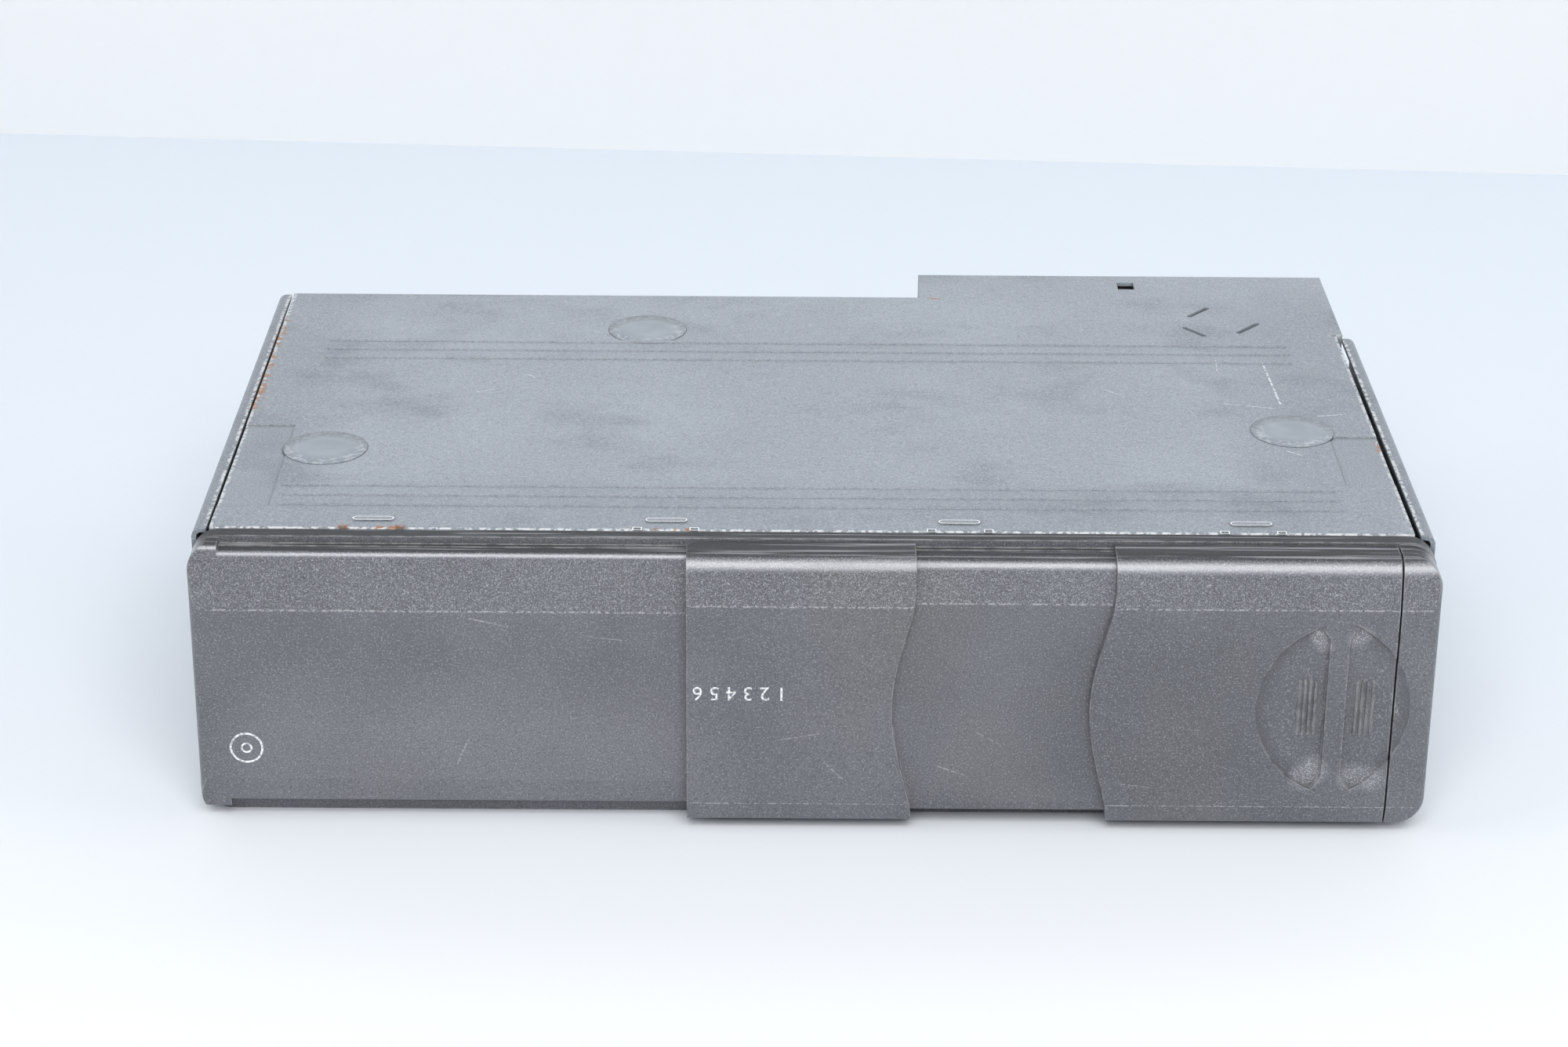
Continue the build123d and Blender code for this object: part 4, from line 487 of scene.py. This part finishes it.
# %% [markdown]
# Metals keep the default index of refraction and are told apart by colour and roughness. Plated
# sheet shows soft blooms, a drawn motor can shows rings that are too fine to see one by one, and
# turned brass is warm and smooth.

# %% Metals
METALS = {
    "zinc_plated_sheet": ("#b9bab6", 0.34, "#a8a79c", 9.0),
    "zinc_plated_fastener": ("#c9c8c2", 0.28, "#a9a79a", 2.0),
    "nickel_plated_can": ("#c4c4c6", 0.24, "#a9a9ab", 5.0),
    "ground_steel_rod": ("#cfd0d2", 0.16, "#b5b6b8", 6.0),
    "turned_brass": ("#c9a55c", 0.24, "#a98846", 3.0),
    "gold_plated_contact": ("#d7b569", 0.22, "#b9954a", 2.0),
    "die_cast_aluminium": ("#a3a4a6", 0.42, "#8b8c8e", 4.0),
}


def bare_metal(name, code, roughness, bloom, bloom_size):
    material, tree, shader, place = new_finish(name, Metallic=1.0)
    base = add(tree, "RGB").outputs[0]
    base.default_value = srgb(code)
    cloud = patches(tree, place, bloom_size, 0.4, 0.7)
    tree.links.new(tint(tree, base, cloud, bloom, 0.6), shader.inputs["Base Color"])
    gloss = add(tree, "MapRange", {3: roughness, 4: roughness + 0.12}, {0: cloud}).outputs[0]
    tree.links.new(gloss, shader.inputs["Roughness"])
    soft = add(tree, "Bevel", {"Radius": 0.12 * MM}, samples=4).outputs[0]
    tree.links.new(grain(tree, place, 0.3, 0.004, 0.5, soft), shader.inputs["Normal"])
    return material


metals = {name: bare_metal(name, *values) for name, values in METALS.items()}
print("metals:", ", ".join(metals))

# %% [markdown]
# The circuit board is glass-fibre laminate under a green solder mask. Copper tracks show through
# it as a slightly lighter green. A brick pattern at track spacing, seen through a coarse cloud,
# is enough to read as tracks. The lens is a small drop of coated glass.

# %% Board and lens
def circuit_board():
    material, tree, shader, place = new_finish("green_solder_mask", Roughness=0.28)
    track = add(tree, "TexBrick", {"Scale": per_mm(14), "Mortar Size": 0.03,
                                   "Color1": (0, 0, 0, 1), "Color2": (0, 0, 0, 1),
                                   "Mortar": (1, 1, 1, 1)}, {"Vector": place}).outputs[0]
    field = product(tree, track, patches(tree, place, 7, 0.42, 0.5))
    base = add(tree, "RGB").outputs[0]
    base.default_value = srgb("#1f5a38")
    tree.links.new(tint(tree, base, field, "#3c8455", 0.8), shader.inputs["Base Color"])
    return material


def coated_lens():
    material, _, shader, _ = new_finish("coated_lens_glass", Roughness=0.04)
    shader.inputs["Base Color"].default_value = srgb("#8fa3c4")
    shader.inputs["Transmission Weight"].default_value = 0.6
    return material


board_finish = circuit_board()
lens_finish = coated_lens()
print("board and lens ready")

# %% [markdown]
# Each CAD node takes its finish here. The lists read like a parts list grouped by material, and a
# node that is missing from it would stay plain, so the script counts.

# %% Give every node its finish
TRAYS = tuple("disc_tray_" + str(number) for number in range(1, 7))
FINISHES = (
    (front_finish, ("front_bezel", "door_inner", "door_outer")),
    (plate_finish, ("base_plate",)),
    (cover_finish, ("case_cover", "rear_housing")),
    (plastics["black_abs_magazine"], ("magazine_shell",)),
    (plastics["grey_abs_tray"], TRAYS),
    (plastics["black_acetal_parts"], ("turntable", "clamper", "eject_button")),
    (plastics["white_acetal_gears"], ("lift_gear", "sled_gear")),
    (plastics["black_connector_nylon"], ("rear_socket",)),
    (plastics["moulded_chip_resin"], ("board_parts",)),
    (plastics["natural_rubber_damper"], ("case_dampers", "unit_dampers")),
    (metals["zinc_plated_sheet"], ("chassis", "magazine_cage", "cam_slide", "lift_frame",
                                   "unit_base", "clamp_arm", "eject_lever")),
    (metals["zinc_plated_fastener"], ("side_nuts", "case_screws")),
    (metals["nickel_plated_can"], ("lift_motor", "spindle_motor", "sled_motor")),
    (metals["ground_steel_rod"], ("guide_rods", "eject_spring", "board_posts")),
    (metals["turned_brass"], ("lift_motor_pinion", "sled_motor_pinion")),
    (metals["gold_plated_contact"], ("socket_pins",)),
    (metals["die_cast_aluminium"], ("pickup_sled",)),
    (board_finish, ("main_board",)),
    (lens_finish, ("pickup_lens",)),
)
dressed = set()
for finish, names in FINISHES:
    for name in names:
        for place_in_list in range(len(nodes[name].material_slots)):
            nodes[name].material_slots[place_in_list].material = finish
        dressed.add(name)
print("dressed", len(dressed), "nodes, left over:", sorted(set(nodes) - dressed))

# %% [markdown]
# ## The seals
# Three access holes in the base plate are closed by round film seals. Film that spans a hole
# dents in the middle, and the dent catches the light. Each seal starts as a disc. Insets make
# rings, each ring sinks a little further than the one outside it, and Solidify gives the film its
# thickness. The disc has an open rim, and an inset skips open rims unless it is told to use them.

# %% Film seals
SEALS = ((-38.1, 128.0), (-104.9, 55.0), (105.1, 68.0))
SEAL_RADIUS = 9.0
SEAL_LIFT = 0.14
FILM = 0.12
SEAL_RINGS = ((4.4, 0.0), (0.8, -0.06), (1.0, -0.16), (1.1, -0.10), (1.0, -0.03))


def seal_finish():
    material, tree, shader, place = new_finish("grey_film_seal", Roughness=0.3)
    cloud = patches(tree, place, 8, 0.4, 0.7)
    colour = add(tree, "Mix", {6: srgb("#8c949c"), 7: srgb("#969da5")}, {0: cloud},
                 data_type="RGBA").outputs[2]
    edges = worn_edges(tree, 0.3, 0.9, 0.99)
    chips = product(tree, edges, patches(tree, place, 1.2, 0.48, 0.58))
    tree.links.new(tint(tree, colour, chips, "#c9cccf", 0.8), shader.inputs["Base Color"])
    tree.links.new(grain(tree, place, 1.4, 0.02, 0.6), shader.inputs["Normal"])
    return material


def make_piece(name, mesh_maker, finish, body):
    """Turn a bmesh into a piece that rides on a body and takes its finish from a slot."""
    mesh = bpy.data.meshes.new(name)
    work = bmesh.new()
    mesh_maker(work)
    bmesh.ops.recalc_face_normals(work, faces=work.faces)
    work.to_mesh(mesh)
    work.free()
    piece = bpy.data.objects.new(name, mesh)
    bpy.context.scene.collection.objects.link(piece)
    mesh.materials.append(finish)
    mesh.shade_smooth()
    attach(piece, body)
    return piece


def seal_shapes(work):
    for x, y in SEALS:
        centre = Matrix.Translation(at(x, y, PLATE_TOP + SEAL_LIFT))
        ring = bmesh.ops.create_circle(work, cap_ends=True, segments=64, radius=SEAL_RADIUS * MM,
                                       matrix=centre)
        faces = list({face for vert in ring["verts"] for face in vert.link_faces})
        for width, sink in SEAL_RINGS:
            bmesh.ops.inset_region(work, faces=faces, thickness=width * MM, depth=0,
                                   use_boundary=True, use_even_offset=True)
            inner = list({vert for face in faces for vert in face.verts})
            bmesh.ops.translate(work, verts=inner, vec=(0, 0, sink * MM))


seals = make_piece("film_seals", seal_shapes, seal_finish(), "case")
thickness = seals.modifiers.new("film", "SOLIDIFY")
thickness.thickness = FILM * MM
thickness.offset = -1
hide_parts("hole_stickers")
facing_up = sum(face.normal.z > 0 for face in seals.data.polygons)
depths = [vert.co.z / MM - PLATE_TOP for vert in seals.data.vertices]
print("seals:", len(seals.data.polygons), "faces,", facing_up, "face up, from",
      round(min(depths), 2), "to", round(max(depths), 2), "mm over the plate")

# %% [markdown]
# Dirt gathers at the rim of each seal, where the glue is. A flat ring of dusty film under each
# seal shows as the thin dark outline that makes an old seal stand out from its plate.

# %% Dirt around the seals
GLUE_RING = 0.16
GLUE_UNDER = 0.5
OUTLINE_LIFT = 0.03


def ring(work, centre, outer, inner, segments=64):
    """A flat ring in the XY plane of the matrix centre."""
    rims = [bmesh.ops.create_circle(work, segments=segments, radius=radius * MM, matrix=centre)["verts"]
            for radius in (outer, inner)]
    for place in range(segments):
        after = (place + 1) % segments
        work.faces.new((rims[0][place], rims[0][after], rims[1][after], rims[1][place]))


def glue_rings(work):
    for x, y in SEALS:
        centre = Matrix.Translation(at(x, y, PLATE_TOP + OUTLINE_LIFT))
        ring(work, centre, SEAL_RADIUS + GLUE_RING, SEAL_RADIUS - GLUE_UNDER)


dirt, _, dirt_shader, _ = new_finish("glue_line_dirt", Roughness=0.8)
dirt_shader.inputs["Base Color"].default_value = srgb("#6c7177")
glue = make_piece("seal_glue_lines", glue_rings, dirt, "case")
print("glue lines:", len(glue.data.polygons), "faces")

# %% [markdown]
# Four pairs of hooks hold the base plate to the front. Each pair shows as two small dark notches in
# the plate's front edge, with bent-up rims where the coating cracked, and behind it a pressed slot
# whose raised edge is rubbed bright. Each notch gets a black card just under the sheet, a painted
# shadow that makes it read as an opening into the dark case. Rims and slot edges are flat outlines,
# a hair above the metal, and the slots are pressed up, so theirs lie higher. The first pair's rims
# have rusted.

# %% Hook marks
HOOKS = (-90.6, -30.3, 30.0, 90.1)
HOOK_HALF = 5.85
NOTCH = (1.5, 1.1)
NOTCH_ROW = 13.5
SLOT_ROW = 17.5
SLOT_SIZE = (8.6, 1.9)
LINE = 0.5
SLOT_RISE = 0.27
SHADOW_DEPTH = 0.9
SHADOW_SHIFT = 0.1


def stadium(length, width, steps=8):
    """Outline of a rectangle with round ends, as points about the origin."""
    radius = width / 2
    points = []
    for end, start in ((length / 2 - radius, -90), (radius - length / 2, 90)):
        for step in range(steps + 1):
            angle = math.radians(start + 180 * step / steps)
            points.append((end + radius * math.cos(angle), radius * math.sin(angle)))
    return points


def frame_line(work, centre, outer, inner):
    """A flat frame between two outlines with the same number of points."""
    rims = [[work.verts.new(centre + Vector((x * MM, y * MM, 0))) for x, y in outline]
            for outline in (outer, inner)]
    count = len(outer)
    for place in range(count):
        after = (place + 1) % count
        work.faces.new((rims[0][place], rims[0][after], rims[1][after], rims[1][place]))


def box_outline(wide, deep):
    return [(-wide / 2, -deep / 2), (wide / 2, -deep / 2), (wide / 2, deep / 2), (-wide / 2, deep / 2)]


def hook_rims(work, hooks):
    wide, deep = NOTCH
    for hook in hooks:
        for side in (-1, 1):
            centre = at(hook + side * HOOK_HALF, NOTCH_ROW, PLATE_TOP + OUTLINE_LIFT)
            frame_line(work, centre, box_outline(wide + LINE, deep + LINE), box_outline(wide, deep))


def slot_rims(work):
    length, width = SLOT_SIZE
    for hook in HOOKS:
        centre = at(hook, SLOT_ROW, PLATE_TOP + SLOT_RISE)
        frame_line(work, centre, stadium(length, width), stadium(length - LINE, width - LINE))


# Painted shadow: a black card just under each notch.
def notch_shadow_cards(work):
    wide, deep = NOTCH
    for hook in HOOKS:
        for side in (-1, 1):
            centre = at(hook + side * HOOK_HALF, NOTCH_ROW - SHADOW_SHIFT, PLATE_TOP - SHADOW_DEPTH)
            work.faces.new([work.verts.new(centre + Vector((x * MM, y * MM, 0)))
                            for x, y in box_outline(wide, deep)])


def flat_finish(name, code, roughness):
    material, _, shader, _ = new_finish(name, Roughness=roughness)
    shader.inputs["Base Color"].default_value = srgb(code)
    return material


bare_steel = flat_finish("bare_worn_steel", "#eceef0", 0.5)
rust = flat_finish("rust_on_steel", "#a5714a", 0.85)
notch_shadow_finish = flat_finish("painted_notch_shadow", "#08080a", 0.9)
make_piece("hook_rims_rusty", lambda work: hook_rims(work, HOOKS[:1]), rust, "case")
make_piece("hook_rims", lambda work: hook_rims(work, HOOKS[1:]), bare_steel, "case")
make_piece("slot_rims", slot_rims, bare_steel, "case")
make_piece("notch_shadow_cards", notch_shadow_cards, notch_shadow_finish, "case")
print("hook marks:", len(HOOKS), "pairs")

# %% [markdown]
# ## Print on the front
# Printed on the front are only plain signs here: the numbers of the six discs on the door, and
# a small disc sign of two rings on the left panel. The changer lies upside down, so both are upside
# down too. Letters start as a text curve, which is turned into a mesh and set a hair before the
# face. White pad printing ink is thin and a little uneven.

# %% Printed signs
INK_GAP = 0.02
NUMBERS = "1 2 3 4 5 6"
NUMBERS_MIDDLE = (-15.0, 0.0, 32.5)
NUMBERS_WIDTH = 18.4
DISC_SIGN = (-117.2, 3.4, 17.4)
DISC_SIGN_RADII = ((3.5, 3.05), (1.2, 0.8))


def white_ink():
    material, tree, shader, place = new_finish("white_pad_printing_ink", Roughness=0.5)
    wear = patches(tree, place, 0.6, 0.35, 0.6)
    base = add(tree, "RGB").outputs[0]
    base.default_value = srgb("#9d9fa3")
    tree.links.new(tint(tree, base, wear, "#e6e8ea", 1.0), shader.inputs["Base Color"])
    return material


def facing_front(middle):
    """Turn the XY plane to the front, upside down, a hair before the face."""
    turn = Matrix(((-1, 0, 0), (0, 0, -1), (0, -1, 0))).to_4x4()
    x, y, z = middle
    return Matrix.Translation(at(x, y - INK_GAP, z)) @ turn


def number_shapes(work):
    words = bpy.data.curves.new("numbers", "FONT")
    words.body = NUMBERS
    words.align_x, words.align_y = "CENTER", "CENTER"
    words.resolution_u = 4
    holder = bpy.data.objects.new("numbers", words)
    bpy.context.scene.collection.objects.link(holder)
    bpy.context.view_layer.update()
    flat = bpy.data.meshes.new_from_object(holder)
    scale = NUMBERS_WIDTH * MM / holder.dimensions.x
    bpy.data.objects.remove(holder)
    flat.transform(facing_front(NUMBERS_MIDDLE) @ Matrix.Scale(scale, 4))
    work.from_mesh(flat)
    bpy.data.meshes.remove(flat)


def disc_sign_shapes(work):
    for outer, inner in DISC_SIGN_RADII:
        ring(work, facing_front(DISC_SIGN), outer, inner, 48)


ink = white_ink()
numbers = make_piece("disc_numbers", number_shapes, ink, "inner_door")
sign = make_piece("disc_sign", disc_sign_shapes, ink, "case")
print("print:", numbers.dimensions[:], sign.dimensions[:])

# %% [markdown]
# ## Stage, light and camera
# A pale bench and a backdrop a little behind the object, a broad soft light above the camera, a
# weaker one from the left and a pale sky. The sky is dark straight overhead, as a studio ceiling
# is, because that is what draws the dark band along the rounded top of the door.

# %% Bench and backdrop
BENCH_FRONT = -2.0
BACK_LEFT = Vector((-0.25, 0.388, 0))
BACK_RIGHT = Vector((0.24, 0.357, 0))
BACKDROP_HEIGHT = 0.7
REACH = 3.0


def stage_finish(name, near, far, near_y, far_y):
    material, tree, shader, place = new_finish(name, Roughness=0.8)
    depth = add(tree, "SeparateXYZ", None, {0: place}).outputs[1]
    share = add(tree, "MapRange", {1: near_y, 2: far_y}, {0: depth},
                interpolation_type="SMOOTHSTEP").outputs[0]
    colour = add(tree, "Mix", {6: srgb(near), 7: srgb(far)}, {0: share}, data_type="RGBA")
    tree.links.new(colour.outputs[2], shader.inputs["Base Color"])
    shader.inputs["Specular IOR Level"].default_value = 0.1
    return material


def stage_plane(name, corners, finish):
    mesh = bpy.data.meshes.new(name)
    work = bmesh.new()
    work.faces.new([work.verts.new(corner) for corner in corners])
    work.to_mesh(mesh)
    work.free()
    mesh.materials.append(finish)
    piece = bpy.data.objects.new(name, mesh)
    bpy.context.scene.collection.objects.link(piece)
    return piece


along = (BACK_RIGHT - BACK_LEFT).normalized()
far_left, far_right = BACK_LEFT - along * REACH, BACK_RIGHT + along * REACH
up = Vector((0, 0, BACKDROP_HEIGHT))
# The bench paper is painted lighter in front and darker and bluer behind, a painted fall of the light
# across it.
stage_plane("bench", ((far_left.x, BENCH_FRONT, 0), (far_right.x, BENCH_FRONT, 0), far_right, far_left),
            stage_finish("bench_paper", "#eeeff1", "#dee5ed", -0.3, 0.12))
stage_plane("backdrop", (far_left, far_right, far_right + up, far_left + up),
            stage_finish("backdrop_paper", "#e2e4e6", "#e2e4e6", 0, 1))
print("bench and backdrop ready")

# %% Lights and sky
def area_light(name, place, aim, size, energy, colour):
    light = bpy.data.lights.new(name, "AREA")
    light.shape = "RECTANGLE"
    light.size, light.size_y = size
    light.energy = energy
    light.color = colour
    lamp = bpy.data.objects.new(name, light)
    lamp.location = place
    lamp.rotation_euler = (Vector(aim) - Vector(place)).to_track_quat("-Z", "Y").to_euler()
    bpy.context.scene.collection.objects.link(lamp)
    return lamp


area_light("key", (0.05, -1.22, 1.15), (0, -0.08, 0.04), (1.3, 0.95), 25, (1.0, 1.0, 0.99))
area_light("side", (-1.5, -0.4, 0.9), (0, 0, 0.03), (0.8, 0.8), 4, (0.98, 0.99, 1.0))
area_light("far_side", (1.5, -0.2, 0.9), (0, 0, 0.03), (0.8, 0.8), 3, (0.98, 0.99, 1.0))

sky = bpy.data.worlds.new("studio")
bpy.context.scene.world = sky
sky.use_nodes = True
sky_tree = sky.node_tree
sky_light = sky_tree.nodes["Background"]
direction = add(sky_tree, "TexCoord").outputs["Generated"]
height = add(sky_tree, "SeparateXYZ", None, {0: direction}).outputs[2]
overhead = add(sky_tree, "MapRange", {1: 0.55, 2: 0.85}, {0: height},
               interpolation_type="SMOOTHSTEP").outputs[0]
shown = add(sky_tree, "Mix", {6: srgb("#e8eef6"), 7: srgb("#5d6166")}, {0: overhead},
            data_type="RGBA").outputs[2]
rays = add(sky_tree, "LightPath").outputs
seen = add(sky_tree, "Math", None, {0: rays["Is Camera Ray"], 1: rays["Is Glossy Ray"]},
           operation="MAXIMUM").outputs[0]
seen = add(sky_tree, "Math", None, {0: seen, 1: rays["Is Transmission Ray"]},
           operation="MAXIMUM").outputs[0]
sky_colour = add(sky_tree, "Mix", {6: srgb("#a9abae")}, {0: seen, 7: shown}, data_type="RGBA")
sky_tree.links.new(sky_colour.outputs[2], sky_light.inputs["Color"])
sky_light.inputs["Strength"].default_value = 1.0

# %% [markdown]
# The camera stands half a metre in front of the door and looks down at about 24 degrees. Its
# place, turn and lens come from fitting a camera to the straight edges of the photographed case,
# whose sizes are known.

# %% Camera
PHOTO_WIDTH = 2000
FOCAL_PIXELS = 4507.5
SENSOR = 36.0
YAW, PITCH, ROLL = -0.0026, -0.4179, -0.0077
CAMERA_PLACE = (-7.82, -647.40, 358.04)

lens = bpy.data.cameras.new("camera")
lens.sensor_width = SENSOR
lens.lens = FOCAL_PIXELS * SENSOR / PHOTO_WIDTH
camera = bpy.data.objects.new("camera", lens)
turn = Matrix.Rotation(YAW, 3, "Z") @ Matrix.Rotation(PITCH, 3, "X") @ Matrix.Rotation(ROLL, 3, "Y")
right, ahead, above = turn.col
camera.matrix_world = Matrix.Translation(at(*CAMERA_PLACE)) @ Matrix(
    (right, above, -ahead)).transposed().to_4x4()
bpy.context.scene.collection.objects.link(camera)
bpy.context.scene.camera = camera
bpy.context.scene.view_settings.view_transform = "Standard"
print("lens", round(lens.lens, 1), "mm at", [round(value, 3) for value in camera.location])
